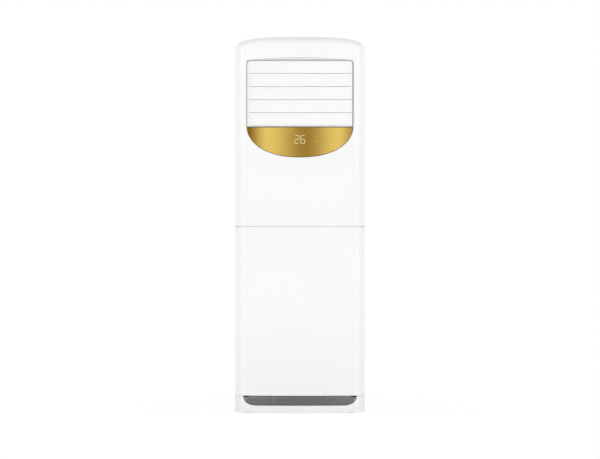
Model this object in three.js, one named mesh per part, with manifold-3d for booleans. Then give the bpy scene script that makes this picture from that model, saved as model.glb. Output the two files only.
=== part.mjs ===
// A floor standing air conditioner (indoor cabinet unit).
// Millimetres, +Z up, the front faces -Y. The origin is on the floor, in the middle of the unit.

import * as THREE from "three";
import { mergeVertices } from "three/addons/utils/BufferGeometryUtils.js";
import Module from "manifold-3d";

const wasm = await Module();
wasm.setup();

// ---------------------------------------------------------------- driving dimensions

// Cabinet
const cabinetWidth = 600;
const cabinetHeight = 1740;
const frontY = -182.5; // foremost line of the crowned front
const cabinetBackY = 166; // outer face of the back panel
const bracketBackY = 182.5; // outer face of the wall bracket
const shellBackY = -90; // rear edge of the front shells
const wall = 3; // moulded shells
const sheet = 2; // folded steel sheet
const sideInset = 1; // side panels, behind the full width of the front shells
const crownRadius = 1487; // bow of the front across its width
const creaseInset = 23; // the front pad is this much narrower than the cabinet, each side
const creaseDrop = 6;
const creaseY = -143;
const flareY = -98; // where the flare reaches the full width
const edgeWidth = 25; // rounded edge of the front pad, seen from the front
const edgeDrop = 34; // the same edge under the top
const archHeight = 69.5; // rise of the rounded top
const archPower = 3.2; // exponent of the rounded top's curve
const archSteps = 10;
const edgeSteps = 4;
const faceSteps = 4;

// Splits between the shells
const plinthLift = 3;
const plinthTop = 79;
const seamHeight = 860;
const seamGap = 2.5;
const footGap = 2.5; // under the lower front panel
const cornerRelief = 3; // rear top corners of the lower panel, so that it can tip
const cornerReliefLength = 44;

// Louvre window and its duct
const windowSide = 52.5; // beside the window, to the cabinet's side
const windowDrop = 106.5; // over the window, to the cabinet's top
const windowHeight = 308.5;
const windowCorner = 20;
const louvrePlaneY = -163.5;
const crescentRise = 14; // sloped cut over the window, at the middle
const crescentLip = 1; // the cuts over and under the window overlap by this much
const ductWall = 5;
const ductBackY = -60;
const ductFloorLift = 0.6; // duct floor over the window's lower edge
const ductFloorFrontY = -156.8;

// Display panel
const displayInset = 0.5; // each side, from the window's width
const displayHeight = 140;
const displayDrop = 22; // display board under the window
const boardHalf = 70;
const boardHeight = 90;
const boardThickness = 2;
const moduleHalf = 34;
const moduleHeight = 44;
const moduleDepth = 5;
const plugHalf = 16;
const plugHeight = 10;
const plugDepth = 8;

// Louvre blades
const bladeCount = 5;
const bladeThickness = 5;
const bladeGap = 0.8;
const bladeBevel = 4; // rear edges of a blade
const bladeFace = 2; // a blade's square front edge
const bladeEndGap = 0.6;
const bladeSetBack = 0.5; // behind the louvre plane
const louvreFoot = 0.7; // under the lowest blade
const louvreHead = 0.5; // over the top blade
const bladeLinkRoom = 8; // beside the blades, for the tie bar
const crankLength = 18;
const crankThickness = 2;
const crankEnd = 0.9; // wall of a crank round its pivot
const pivotPin = 2; // radius
const crankPin = 1.7;
const barHalf = 3.2;
const barThickness = 2.6;
const barOverhang = 6;
const driveOffset = 36; // drive crank behind the blades' pivots
const coverThickness = 1.2; // strip in front of the tie bar
const coverLap = 1.4; // of the strip over the duct's front edge
const motorRound = 14; // radius of the stepper motors
const motorTall = 18;
const motorEar = 24;
const motorEarHalf = 4;
const motorPin = 12; // a pivot's length inside its motor

// Upright vanes
const vaneCount = 7;
const vaneSide = 44.1; // outermost vane, from the duct's side wall
const vaneChord = 48;
const vaneThickness = 2;
const vanePivotY = -98;
const vaneArm = 18;
const vaneFootGap = 20;
const vaneHeadGap = 12;
const vaneTrim = 9; // cut off the front corners
const vaneSpine = 2.8; // radius
const vaneBarHalf = 4;
const vaneBarHeight = 4;

// Base
const footRadius = 22;
const footHeight = 9.7;
const footEdge = 2; // chamfer of the tread
const footSide = 70; // middle of a foot, from the cabinet's side
const footFrontY = -110;
const footRear = 46; // middle of a rear foot, from the cabinet's back
const panHeight = 20;
const slotSide = 39; // beside the slot, to the cabinet's side
const slotBottom = 32;
const slotCorner = 74;
const slotCornerHeight = 44;
const intakeSetBack = 1.1; // intake grille behind the plinth's wall
const intakeBarPitch = 20;
const intakeBarSlot = 13;
const intakeDepth = 6;
const intakeRim = 8;
const intakeSide = 20; // without slots, at each end

// Hinge of the lower front panel
const hingeY = -166;
const hingeLift = 13; // over the plinth
const hingeX = 118; // middle of each lug
const hingePin = 3.5;
const hingeEye = 7;
const lugWidth = 11;
const earGap = 0.5;
const earWidth = 6;
const earDrop = 24;
const earHalf = 5;
const earTop = 9;

// Side intakes and filters
const intakeFrontY = -50;
const intakeRearY = 130;
const intakeLow = 200;
const intakeDrop = 100; // top of the intakes, under the seam
const grilleRim = 8;
const slatCount = 16;
const slatRise = 9; // the outer edge is this much under the middle, the inner edge over it
const slatThickness = 2.5;
const slatInset = 1;
const filterInset = 13.5; // a filter's inner face, behind the side panel's
const filterThickness = 4;
const filterFrontY = -46;
const filterMargin = 6;
const filterGap = 0.6; // to its rails
const filterFrame = 9;
const paneCount = 4;
const paneGap = 6;
const paneSkin = 1.2; // net between the frame's bars
const railLip = 2;
const railWeb = 2.8;
const railHold = 7;
const slotGap = 1; // a filter in its slot

// Mid deck, coil and drain pan
const deckLift = 3.5; // over the seam
const deckSide = 38; // front part of the deck, to the cabinet's side
const deckFrontY = -150;
const deckFlange = 18;
const deckGap = 0.6;
const deckRearTongue = 250; // half width of the tongue that meets the back panel
const catchX = 120;
const catchHalf = 15;
const catchDrop = 20;
const coilSide = 50; // end of the fins, to the cabinet's side
const coilLength = 380;
const coilDepth = 50;
const coilLean = THREE.MathUtils.degToRad(28);
const coilFootY = -100;
const finPitch = 15.625;
const finGap = 8;
const finGrooveDepth = 10;
const bendCount = 6;
const bendPitch = 55;
const bendFoot = 25; // lowest bend, from the end of the fins
const bendRadius = 12.5;
const bendTube = 4.5;
const bendRoot = 0.8; // of each bend in its plate
const plateMargin = 3;
const baffleSide = 12;
const baffleLip = 32;
const baffleLap = 4;
const panWall = 26;
const panSide = 18;
const panFrontGap = 2;
const panRearRun = 58; // from the coil's foot line back
const spoutSide = 15; // from the end of the fins
const spoutY = -125;
const spoutRadius = 7;
const spoutBore = 5;
const spoutLength = 22; // under the deck

// Blower
const fanX = -10;
const fanZ = 430;
const wheelRadius = 160;
const bladeRun = 28; // of a wheel blade, along the radius
const bladeLead = THREE.MathUtils.degToRad(11); // a wheel blade's lean over its run
const bladeSkin = 0.8; // half the thickness of a wheel blade
const wheelBlades = 36;
const wheelDisc = 3;
const wheelDish = 16;
const wheelRing = 10;
const wheelRingDepth = 6;
const hubRadius = 20;
const hubDepth = 34;
const hubCone = 34; // run of the disc from the hub to its slope
const discFlat = 16; // flat rim of the disc inside the blades
const tongueGap = 12; // scroll to wheel, at the tongue
const tongueRise = 24; // straight stretch over the tongue
const scrollSide = 35; // widest point of the scroll, to the cabinet's side
const scrollFrontY = -35.3;
const scrollBackY = 103;
const scrollSkin = 2.5;
const wheelFrontGap = 15.3; // wheel to the scroll's front and back
const wheelBackGap = 12;
const tongueAngle = THREE.MathUtils.degToRad(75);
const scrollSteps = 24;
const neckRight = 60;
const mouthLap = 20; // the bell mouth is this much narrower than the wheel
const mouthRun = 26;
const mouthDepth = 16;
const mouthSteps = 3;
const mouthSkin = 1.2;
const shaftRadius = 7;
const shaftFrontReach = 40;
const shaftBackReach = 30;
const motorRadius = 65;
const motorDepth = 50;
const motorShoulder = 8;
const bearingRadius = 22;
const bracketRadius = 72;
const bracketEye = 24;
const armCount = 3;
const armWidth = 30;
const armReach = 118;

// Pipes
const gasPipe = 8; // radius
const liquidPipe = 5;
const pipeExitSide = 95; // from the cabinet's side
const pipeExitZ = 160;
const pipeExitRun = 8; // behind the back panel
const pipeSpread = 12;
const pipeHole = 32;
const riserY = 138; // the pipes run down behind the blower
const gasRiserSide = 36; // from the cabinet's side
const liquidRiserSide = 60;
const gasPlace = 48; // joint with the coil, under the top of the fins
const liquidPlace = 14;
const pipeDepth = 8; // the joints lie on both sides of the plate's middle line
const pipeGap = 4; // round the pipes in the deck's notch
const grommetLip = 5;
const grommetFront = 4; // inside the back panel
const grommetBack = 3;

// Drain hose, motor lead and display lead
const hoseRadius = 9;
const hoseDrop = 19; // under the pipes, in the grommet
const motorLead = 3;
const displayLead = 2.5;
const leadX = 62; // the display lead enters the electrical box here
const leadTuck = 0.8; // its end inside the front edge of the box

// Electrical box
const boxHalf = 185;
const boxFrontY = -140;
const boxBackY = -72;
const boxDrop = 203.5; // bottom of the box, under the deck's top
const lidMargin = 3;
const lidDrop = 22; // opening over the lid
const lidHook = 10;
const ventCount = 8;
const ventPitch = 12;
const ventWidth = 5;
const ventSide = 40;
const ventFoot = 24;
const ventHeight = 60;
const blockSide = 95; // terminal block, from the right side of the box
const blockLength = 80;
const blockDepth = 24;
const blockFront = 14;
const blockHeight = 24;
const terminalCount = 5;
const terminalPitch = 15;
const terminalWidth = 9;
const terminalSide = 6;
const terminalCut = 14;
const terminalLow = 8;
const terminalHigh = 6;

// Anti-tip bracket and the stiffening beads of the back panel
const bracketDrop = 18.5; // top of the bracket, under the rounded top
const bracketLeg = 52;
const bracketFoot = 40;
const bracketHalf = 60;
const bracketHoleX = 40;
const bracketHole = 3.5; // radius
const bracketHoleDrop = 22;
const beadHalf = 9;
const beadPitch = 150;
const beadHeight = 0.9;
const beadRoot = 0.6;
const beadPipeGap = 100; // lower beads, over the pipes' exit
const beadDeckGap = 83.5; // lower beads, under the deck
const beadDeckLift = 86.5; // upper beads, over the deck
const beadBracketGap = 60; // upper beads, under the bracket

// Clearances
const fit = 0.4; // between parts that are fitted into each other
const seat = 0.3; // between parts that rest on each other
const slack = 12; // cutting shapes run past the face that they cut by this much
const nick = 1; // short cuts run past, and joined pieces run into each other, by this much

// ---------------------------------------------------------------- places that several pieces share

const halfWidth = cabinetWidth / 2;
const archFoot = cabinetHeight - archHeight;
const windowHalf = halfWidth - windowSide;
const windowTop = cabinetHeight - windowDrop;
const windowBottom = windowTop - windowHeight;
const ductFloorTop = windowBottom + ductFloorLift;
const displayHalf = windowHalf - displayInset;
const slotHalf = halfWidth - slotSide;
const footX = halfWidth - footSide;
const footRearY = cabinetBackY - footRear;
const hingeZ = plinthTop + hingeLift;
const sidePanelOuter = halfWidth - sideInset;
const sidePanelInner = sidePanelOuter - sheet;
const intakeHigh = seamHeight - intakeDrop;
const filterX = sidePanelInner - filterInset; // inner face
const deckTop = seamHeight + deckLift;
const coilHalf = halfWidth - coilSide;
const spoutX = coilHalf - spoutSide;
const wheelInner = wheelRadius - bladeRun;
const wheelFrontY = scrollFrontY + wheelFrontGap;
const wheelBackY = scrollBackY - wheelBackGap;
const scrollStart = wheelRadius + tongueGap; // radius at the tongue
const scrollEnd = halfWidth + fanX - scrollSide; // radius where the spiral runs into the neck
const inletRadius = wheelRadius - mouthLap;
const pipeExitX = halfWidth - pipeExitSide;
const boxLow = deckTop - boxDrop;
const bracketHigh = archFoot - bracketDrop;
const bracketBend = bracketHigh - bracketLeg;
const bracketLow = bracketBend - bracketFoot;

// ---------------------------------------------------------------- solids

const unit = new THREE.Group();

/** Turns a closed three.js geometry into a solid, with its faces pointing out. */
function toSolid(geometry) {
  const bare = geometry.clone();
  bare.deleteAttribute("normal");
  bare.deleteAttribute("uv");
  const merged = mergeVertices(bare, 1e-4);
  const corners = merged.index.array;
  const places = merged.attributes.position;
  const triangles = [];
  let volume = 0;
  const [a, b, c] = [new THREE.Vector3(), new THREE.Vector3(), new THREE.Vector3()];
  for (let i = 0; i < corners.length; i += 3) {
    const [p, q, r] = [corners[i], corners[i + 1], corners[i + 2]];
    if (p === q || q === r || r === p) continue;
    triangles.push(p, q, r);
    a.fromBufferAttribute(places, p);
    b.fromBufferAttribute(places, q);
    c.fromBufferAttribute(places, r);
    volume += a.dot(b.cross(c));
  }
  if (volume < 0) triangles.reverse();
  return new wasm.Manifold(
    new wasm.Mesh({
      numProp: 3,
      vertProperties: new Float32Array(places.array),
      triVerts: new Uint32Array(triangles),
    }),
  );
}

/** Copies a solid with its X coordinates reversed. */
function mirrored(solid) {
  const mesh = solid.getMesh();
  const geometry = new THREE.BufferGeometry();
  geometry.setAttribute("position", new THREE.BufferAttribute(mesh.vertProperties.slice(), 3));
  geometry.setIndex(new THREE.BufferAttribute(mesh.triVerts.slice(), 1));
  geometry.scale(-1, 1, 1);
  return toSolid(geometry);
}

const axisFrames = {
  x: new THREE.Matrix4().set(0, 0, 1, 0, 1, 0, 0, 0, 0, 1, 0, 0, 0, 0, 0, 1),
  y: new THREE.Matrix4().set(1, 0, 0, 0, 0, 0, -1, 0, 0, 1, 0, 0, 0, 0, 0, 1),
  z: new THREE.Matrix4(),
};

/** Extrudes an outline along an axis. It is drawn in (y, z) for x, (x, z) for y and (x, y) for z. */
function prism(outline, axis, low, high) {
  const shape = Array.isArray(outline)
    ? new THREE.Shape(outline.map(([u, v]) => new THREE.Vector2(u, v)))
    : outline;
  const geometry = new THREE.ExtrudeGeometry(shape, {
    depth: high - low,
    bevelEnabled: false,
    curveSegments: 5,
  });
  geometry.applyMatrix4(axisFrames[axis]);
  if (axis === "x") geometry.translate(low, 0, 0);
  if (axis === "y") geometry.translate(0, high, 0);
  if (axis === "z") geometry.translate(0, 0, low);
  return toSolid(geometry);
}

function box([x0, x1], [y0, y1], [z0, z1]) {
  const geometry = new THREE.BoxGeometry(x1 - x0, y1 - y0, z1 - z0);
  geometry.translate((x0 + x1) / 2, (y0 + y1) / 2, (z0 + z1) / 2);
  return toSolid(geometry);
}

function ringOutline(u, v, radius, sides) {
  const points = [];
  for (let i = 0; i < sides; i += 1) {
    const turn = ((i + 0.5) / sides) * Math.PI * 2;
    points.push([u + radius * Math.cos(turn), v + radius * Math.sin(turn)]);
  }
  return points;
}

/** A round rod along an axis, centred at (u, v) in the outline's plane. */
function rod(axis, radius, low, high, u, v, sides = 8) {
  return prism(ringOutline(u, v, radius, sides), axis, low, high);
}

/** Turns a profile of [radius, y] points about the line through (x, z) along Y. */
function turned(profile, x, z, sides) {
  const geometry = new THREE.LatheGeometry(
    profile.map(([r, y]) => new THREE.Vector2(r, y)),
    sides,
  );
  geometry.translate(x, 0, z);
  return toSolid(geometry);
}

/** A round tube along a smooth curve through the points. */
function pipe(points, radius, steps, sides) {
  const curve = new THREE.CatmullRomCurve3(
    points.map(([x, y, z]) => new THREE.Vector3(x, y, z)),
    false,
    "centripetal",
  );
  const section = new THREE.Shape(
    ringOutline(0, 0, radius, sides).map(([u, v]) => new THREE.Vector2(u, v)),
  );
  return toSolid(new THREE.ExtrudeGeometry(section, { steps, extrudePath: curve }));
}

function joined(solids) {
  return solids.reduce((whole, next) => whole.add(next));
}

function addPart(name, solid, finish, turn = 0, place = [0, 0, 0]) {
  const mesh = solid.getMesh();
  const geometry = new THREE.BufferGeometry();
  geometry.setAttribute("position", new THREE.BufferAttribute(mesh.vertProperties, 3));
  geometry.setIndex(new THREE.BufferAttribute(mesh.triVerts, 1));
  geometry.computeVertexNormals();
  const part = new THREE.Mesh(geometry, new THREE.MeshStandardMaterial(finish));
  part.name = name;
  part.rotation.x = turn;
  part.position.set(...place);
  unit.add(part);
}

// ---------------------------------------------------------------- finishes

const whiteShell = { color: 0xf6f7f8, roughness: 0.32, metalness: 0 };
const whiteSteel = { color: 0xf1f2f3, roughness: 0.4, metalness: 0 };
const whiteBlade = { color: 0xfafafa, roughness: 0.35, metalness: 0 };
const darkPlastic = { color: 0x6c6f73, roughness: 0.55, metalness: 0 };
const blackPlastic = { color: 0x26282a, roughness: 0.6, metalness: 0 };
const goldMirror = { color: 0xd2a843, roughness: 0.16, metalness: 0.9 };
const circuitGreen = { color: 0x1f5c3b, roughness: 0.5, metalness: 0.1 };
const galvanised = { color: 0xb9bdc0, roughness: 0.42, metalness: 0.85 };
const aluminium = { color: 0xc9ccd0, roughness: 0.38, metalness: 0.9 };
const copper = { color: 0xb9703f, roughness: 0.3, metalness: 0.95 };
const greyMoulding = { color: 0x9da2a6, roughness: 0.55, metalness: 0 };
const rubber = { color: 0x1c1c1d, roughness: 0.85, metalness: 0 };

// ---------------------------------------------------------------- form of the front shells

function crownY(x) {
  return frontY + (x * x) / (2 * crownRadius);
}

/** Share of the half width and of the arch height at a turn round the rounded top. */
function archPlace(turn) {
  const power = 2 / archPower;
  const across = turn > Math.PI / 2 - 1e-6 ? 0 : Math.cos(turn) ** power;
  return { across, up: Math.sin(turn) ** power };
}

/**
 * One row of the shell: from the left rear edge over the flare, the crease, the rounded edge and
 * the crowned face to the right rear edge. The row climbs round the arch as turn goes to 90 degrees.
 */
function shellRow(turn, foot, skin, backY) {
  const { across, up } = archPlace(turn);
  const at = (inset, drop, y) => [
    (halfWidth - skin - inset) * across,
    y,
    foot + (archHeight - skin - drop) * up,
  ];
  const faceX = at(creaseInset + edgeWidth, 0, 0)[0];
  const innerCrease = creaseY + skin;
  const half = [at(0, 0, backY), at(0, 0, flareY + skin / 2), at(creaseInset, creaseDrop, innerCrease)];
  for (let i = 1; i <= edgeSteps; i += 1) {
    const bend = (i / edgeSteps) * (Math.PI / 2);
    const run = 1 - Math.cos(bend);
    const y = innerCrease + (crownY(faceX) + skin - innerCrease) * Math.sin(bend);
    half.push(at(creaseInset + edgeWidth * run, creaseDrop + edgeDrop * run, y));
  }
  const [edgeX, , edgeZ] = half[half.length - 1];
  for (let i = 1; i <= faceSteps; i += 1) {
    const x = edgeX * (1 - i / faceSteps);
    half.push([x, crownY(x) + skin, edgeZ]);
  }
  const left = half.slice(0, -1).map(([x, y, z]) => [-x, y, z]);
  return [...left, ...half.reverse()];
}

/** Closed body between the rear edge plane and the shell's surface, from low up to the rounded top. */
function shellBody(skin, low, backY) {
  const rows = [shellRow(0, low, skin, backY)];
  for (let i = 0; i <= archSteps; i += 1) {
    rows.push(shellRow((i / archSteps) * (Math.PI / 2), archFoot, skin, backY));
  }
  const width = rows[0].length;
  const index = [];
  const quad = (a, b, c, d) => index.push(a, b, c, a, c, d);
  for (let k = 0; k + 1 < rows.length; k += 1) {
    for (let i = 0; i + 1 < width; i += 1) {
      quad(k * width + i, k * width + i + 1, (k + 1) * width + i + 1, (k + 1) * width + i);
    }
    quad((k + 1) * width - 1, k * width, (k + 1) * width, (k + 2) * width - 1);
  }
  const floorLine = rows[0].map(([x, y]) => new THREE.Vector2(x, y));
  for (const [a, b, c] of THREE.ShapeUtils.triangulateShape(floorLine, [])) index.push(c, b, a);
  const geometry = new THREE.BufferGeometry();
  geometry.setAttribute("position", new THREE.Float32BufferAttribute(rows.flat(2), 3));
  geometry.setIndex(index);
  return toSolid(geometry);
}

/** Plan outline of the cabinet's front half, drawn back to a chosen depth. */
function planOutline(skin, backY) {
  return shellRow(0, 0, skin, backY).map(([x, y]) => [x, y]);
}

/** Arch outline in elevation, down to a chosen height. */
function archOutline(skin, low) {
  const half = [];
  for (let i = 0; i <= archSteps; i += 1) {
    const { across, up } = archPlace((i / archSteps) * (Math.PI / 2));
    half.push([(halfWidth - skin) * across, archFoot + (archHeight - skin) * up]);
  }
  const left = half.slice(0, -1).map(([x, z]) => [-x, z]);
  return [[-halfWidth + skin, low], ...left, ...half.reverse(), [halfWidth - skin, low]];
}

/** Outline of the louvre window, shrunk all round by an inset, with its floor at a chosen height. */
function windowOutline(inset, floor) {
  const half = windowHalf - inset;
  const top = windowTop - inset;
  const corner = windowCorner - inset;
  const shape = new THREE.Shape();
  shape.moveTo(-half, floor);
  shape.lineTo(half, floor);
  shape.lineTo(half, top - corner);
  shape.absarc(half - corner, top - corner, corner, 0, Math.PI / 2);
  shape.absarc(-half + corner, top - corner, corner, Math.PI / 2, Math.PI);
  shape.lineTo(-half, floor);
  return shape;
}

/** Half ellipse that hangs from a level line. */
function halfEllipse(halfSpan, top, height, steps) {
  const points = [];
  for (let i = 0; i <= steps; i += 1) {
    const turn = Math.PI + (i / steps) * Math.PI;
    points.push([halfSpan * Math.cos(turn), top + height * Math.sin(turn)]);
  }
  return points;
}

// ---------------------------------------------------------------- base: feet, pan, plinth

function makeBase() {
  const footSides = 16;
  const foot = turned(
    [
      [0, 0],
      [footRadius - footEdge, 0],
      [footRadius, footEdge],
      [footRadius, footHeight],
      [0, footHeight],
    ],
    0,
    0,
    footSides,
  );
  for (const [side, x] of [["left", -footX], ["right", footX]]) {
    for (const [end, y] of [["front", footFrontY], ["rear", footRearY]]) {
      // The foot is turned about Y, so it is tipped upright here.
      addPart(`foot_${end}_${side}`, foot, rubber, Math.PI / 2, [x, y, 0]);
    }
  }

  const panLow = footHeight + seat;
  const panSkin = wall + fit;
  const pan = prism(planOutline(panSkin, cabinetBackY - panSkin), "z", panLow, panLow + panHeight);
  const panRoom = prism(
    planOutline(panSkin + sheet, cabinetBackY - panSkin - sheet),
    "z",
    panLow + sheet,
    panLow + panHeight + slack,
  );
  addPart("base_pan", pan.subtract(panRoom), galvanised);

  const plinth = prism(planOutline(0, cabinetBackY), "z", plinthLift, plinthTop);
  const plinthRoom = prism(
    planOutline(wall, cabinetBackY - wall),
    "z",
    plinthLift - slack,
    plinthTop + slack,
  );
  const slot = new THREE.Shape();
  slot.moveTo(-slotHalf, plinthTop + slack);
  slot.lineTo(-slotHalf, slotBottom + slotCornerHeight);
  slot.absellipse(
    -slotHalf + slotCorner,
    slotBottom + slotCornerHeight,
    slotCorner,
    slotCornerHeight,
    Math.PI,
    Math.PI * 1.5,
  );
  slot.absellipse(
    slotHalf - slotCorner,
    slotBottom + slotCornerHeight,
    slotCorner,
    slotCornerHeight,
    Math.PI * 1.5,
    Math.PI * 2,
  );
  slot.lineTo(slotHalf, plinthTop + slack);
  const slotCut = prism(slot, "y", frontY - slack, creaseY);
  addPart("base_plinth", plinth.subtract(plinthRoom).subtract(slotCut), whiteShell);
}

const hingeSides = 12;

/** Dark intake grille behind the slot, with the two hinge pins of the lower front panel. */
function makePlinthGrille() {
  const half = slotHalf + nick;
  const low = footHeight + panHeight + 2 * seat;
  const intakeFaceY = crownY(half) + wall + intakeSetBack;
  const grilleBack = intakeFaceY + intakeDepth;
  const inner = hingeX + lugWidth / 2 + earGap;
  const ear = prism(
    [
      [grilleBack, plinthTop - earDrop],
      [intakeFaceY + nick, plinthTop - earDrop],
      [hingeY - earHalf, hingeZ - earHalf],
      [hingeY - earHalf, hingeZ + earHalf],
      [hingeY + earHalf, hingeZ + earTop],
      [grilleBack, hingeZ],
    ],
    "x",
    inner,
    inner + earWidth,
  );
  const pin = rod("x", hingePin, hingeX - lugWidth / 2, inner + nick, hingeY, hingeZ, hingeSides);
  const hinge = ear.add(pin);
  let grille = joined([
    box([-half, half], [intakeFaceY, grilleBack], [low, plinthTop]),
    hinge,
    mirrored(hinge),
  ]);
  const slots = Math.floor((half - intakeSide) / intakeBarPitch);
  for (let i = -slots; i <= slots; i += 1) {
    const x = i * intakeBarPitch;
    if (Math.abs(Math.abs(x) - hingeX - lugWidth / 2) < intakeBarPitch) continue;
    const opening = box(
      [x - intakeBarSlot / 2, x + intakeBarSlot / 2],
      [intakeFaceY - slack, grilleBack + slack],
      [low + intakeRim, plinthTop - intakeRim],
    );
    grille = grille.subtract(opening);
  }
  addPart("plinth_grille", grille, darkPlastic);
}

// ---------------------------------------------------------------- front panels

const upperLow = seamHeight + seamGap / 2;
const lowerHigh = seamHeight - seamGap / 2;
const lowerLow = plinthTop + footGap;

function makeFrontPanels() {
  const displaySteps = 32;
  const outer = shellBody(0, upperLow, shellBackY);
  const inner = shellBody(wall, upperLow - slack, shellBackY + slack);
  const skin = outer.subtract(inner);

  const returnDepth = louvrePlaneY + wall;
  const surround = prism(
    windowOutline(-wall, windowBottom),
    "y",
    frontY - slack,
    returnDepth,
  ).add(
    box(
      [-windowHalf + windowCorner, windowHalf - windowCorner],
      [frontY - slack, returnDepth],
      [windowTop, windowTop + crescentRise + wall],
    ),
  );
  const windowFoot = windowBottom - crescentLip;
  const window = prism(windowOutline(0, windowFoot), "y", frontY - slack, shellBackY);
  const slope = crescentRise / (louvrePlaneY - frontY);
  const reach = louvrePlaneY - frontY + slack;
  const crescent = prism(
    [
      [louvrePlaneY, windowTop - crescentLip],
      [louvrePlaneY, windowTop],
      [louvrePlaneY - reach, windowTop + slope * reach],
      [louvrePlaneY - reach, windowTop - crescentLip],
    ],
    "x",
    -windowHalf + windowCorner,
    windowHalf - windowCorner,
  );
  const displayHole = prism(
    halfEllipse(displayHalf + fit, windowBottom, displayHeight + 2 * fit, displaySteps),
    "y",
    frontY - slack,
    shellBackY,
  );
  const upper = skin
    .add(surround.intersect(outer))
    .subtract(window)
    .subtract(crescent)
    .subtract(displayHole);
  addPart("upper_front_panel", upper, whiteShell);

  const display = skin.intersect(
    prism(
      halfEllipse(displayHalf, windowBottom - fit, displayHeight, displaySteps),
      "y",
      frontY - slack,
      shellBackY,
    ),
  );
  addPart("display_panel", display, goldMirror);

  const lowerOuter = prism(planOutline(0, shellBackY), "z", lowerLow, lowerHigh);
  const lowerInner = prism(
    planOutline(wall, shellBackY + slack),
    "z",
    lowerLow - slack,
    lowerHigh + slack,
  );
  let lower = lowerOuter.subtract(lowerInner);
  const bores = [];
  for (const side of [-1, 1]) {
    const low = side * hingeX - lugWidth / 2;
    const eye = rod("x", hingeEye, low, low + lugWidth, hingeY, hingeZ, hingeSides);
    const web = box(
      [low, low + lugWidth],
      [crownY(hingeX) + wall / 2, hingeY],
      [hingeZ - hingeEye, hingeZ + hingeEye],
    );
    lower = lower.add(eye.add(web));
    bores.push(rod("x", hingePin + seat, low - nick, low + lugWidth + nick, hingeY, hingeZ, hingeSides));
  }
  const relief = prism(
    [
      [shellBackY - cornerReliefLength, lowerHigh],
      [shellBackY, lowerHigh - cornerRelief],
      [shellBackY + slack, lowerHigh - cornerRelief],
      [shellBackY + slack, lowerHigh + slack],
      [shellBackY - cornerReliefLength, lowerHigh + slack],
    ],
    "x",
    -halfWidth - slack,
    halfWidth + slack,
  );
  addPart("lower_front_panel", lower.subtract(joined(bores)).subtract(relief), whiteShell);
}

// ---------------------------------------------------------------- sides, back and top

const sheetFrontY = shellBackY + 3 * seat;
const sideLow = plinthTop + fit;
const sideHigh = archFoot - fit;
const backInnerY = cabinetBackY - sheet;

const grommetSides = 20;

function makeCabinet() {
  const flange = 13;
  const sideProfile = [
    [sidePanelOuter, sheetFrontY],
    [sidePanelOuter, backInnerY - fit],
    [sidePanelOuter - flange, backInnerY - fit],
    [sidePanelOuter - flange, backInnerY - fit - sheet],
    [sidePanelInner, backInnerY - fit - sheet],
    [sidePanelInner, sheetFrontY + sheet],
    [sidePanelOuter - flange, sheetFrontY + sheet],
    [sidePanelOuter - flange, sheetFrontY],
  ];
  // The rear flange stops short of the filter's slot.
  const filterPass = box(
    [filterX - slack, sidePanelInner],
    [backInnerY - slack, backInnerY + slack],
    [intakeLow - fit, intakeHigh + fit],
  );
  const side = prism(sideProfile, "z", sideLow, sideHigh)
    .subtract(
      box(
        [sidePanelInner - nick, sidePanelOuter + nick],
        [intakeFrontY, intakeRearY],
        [intakeLow, intakeHigh],
      ),
    )
    .subtract(filterPass);
  addPart("right_side_panel", side, whiteSteel);
  addPart("left_side_panel", mirrored(side), whiteSteel);

  let back = box([-sidePanelOuter, sidePanelOuter], [backInnerY, cabinetBackY], [sideLow, sideHigh]);
  const beadRuns = [
    [deckTop + beadDeckLift, bracketLow - beadBracketGap],
    [pipeExitZ + beadPipeGap, deckTop - beadDeckGap],
  ];
  for (const x of [-beadPitch, 0, beadPitch]) {
    for (const run of beadRuns) {
      const depth = [cabinetBackY - beadRoot, cabinetBackY + beadHeight];
      back = back.add(box([x - beadHalf, x + beadHalf], depth, run));
    }
  }
  back = back.subtract(
    rod("y", pipeHole, backInnerY - slack, cabinetBackY + slack, pipeExitX, pipeExitZ, grommetSides),
  );
  const filterSlot = box(
    [filterX - slotGap, filterX + filterThickness + slotGap],
    [backInnerY - slack, cabinetBackY + slack],
    [intakeLow + filterMargin - slotGap, intakeHigh - filterMargin + slotGap],
  );
  back = back.subtract(filterSlot).subtract(mirrored(filterSlot));
  addPart("back_panel", back, galvanised);

  const cover = prism(archOutline(0, archFoot), "y", sheetFrontY, cabinetBackY);
  const coverRoom = prism(
    archOutline(wall, archFoot - slack),
    "y",
    sheetFrontY - slack,
    cabinetBackY - wall,
  );
  addPart("top_cover", cover.subtract(coverRoom), whiteShell);

  // Anti-tip bracket: screwed to the back panel, its outer leg is screwed to the room's wall.
  const legY = cabinetBackY + seat;
  let bracket = prism(
    [
      [legY, bracketLow],
      [legY + sheet, bracketLow],
      [legY + sheet, bracketBend - sheet],
      [bracketBackY, bracketBend - sheet],
      [bracketBackY, bracketHigh],
      [bracketBackY - sheet, bracketHigh],
      [bracketBackY - sheet, bracketBend],
      [legY, bracketBend],
    ],
    "x",
    -bracketHalf,
    bracketHalf,
  );
  const holeZ = bracketHigh - bracketHoleDrop;
  for (const x of [-bracketHoleX, bracketHoleX]) {
    bracket = bracket.subtract(rod("y", bracketHole, cabinetBackY, bracketBackY + nick, x, holeZ, 12));
  }
  addPart("wall_bracket", bracket, galvanised);
}

// ---------------------------------------------------------------- side intakes and filters

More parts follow.
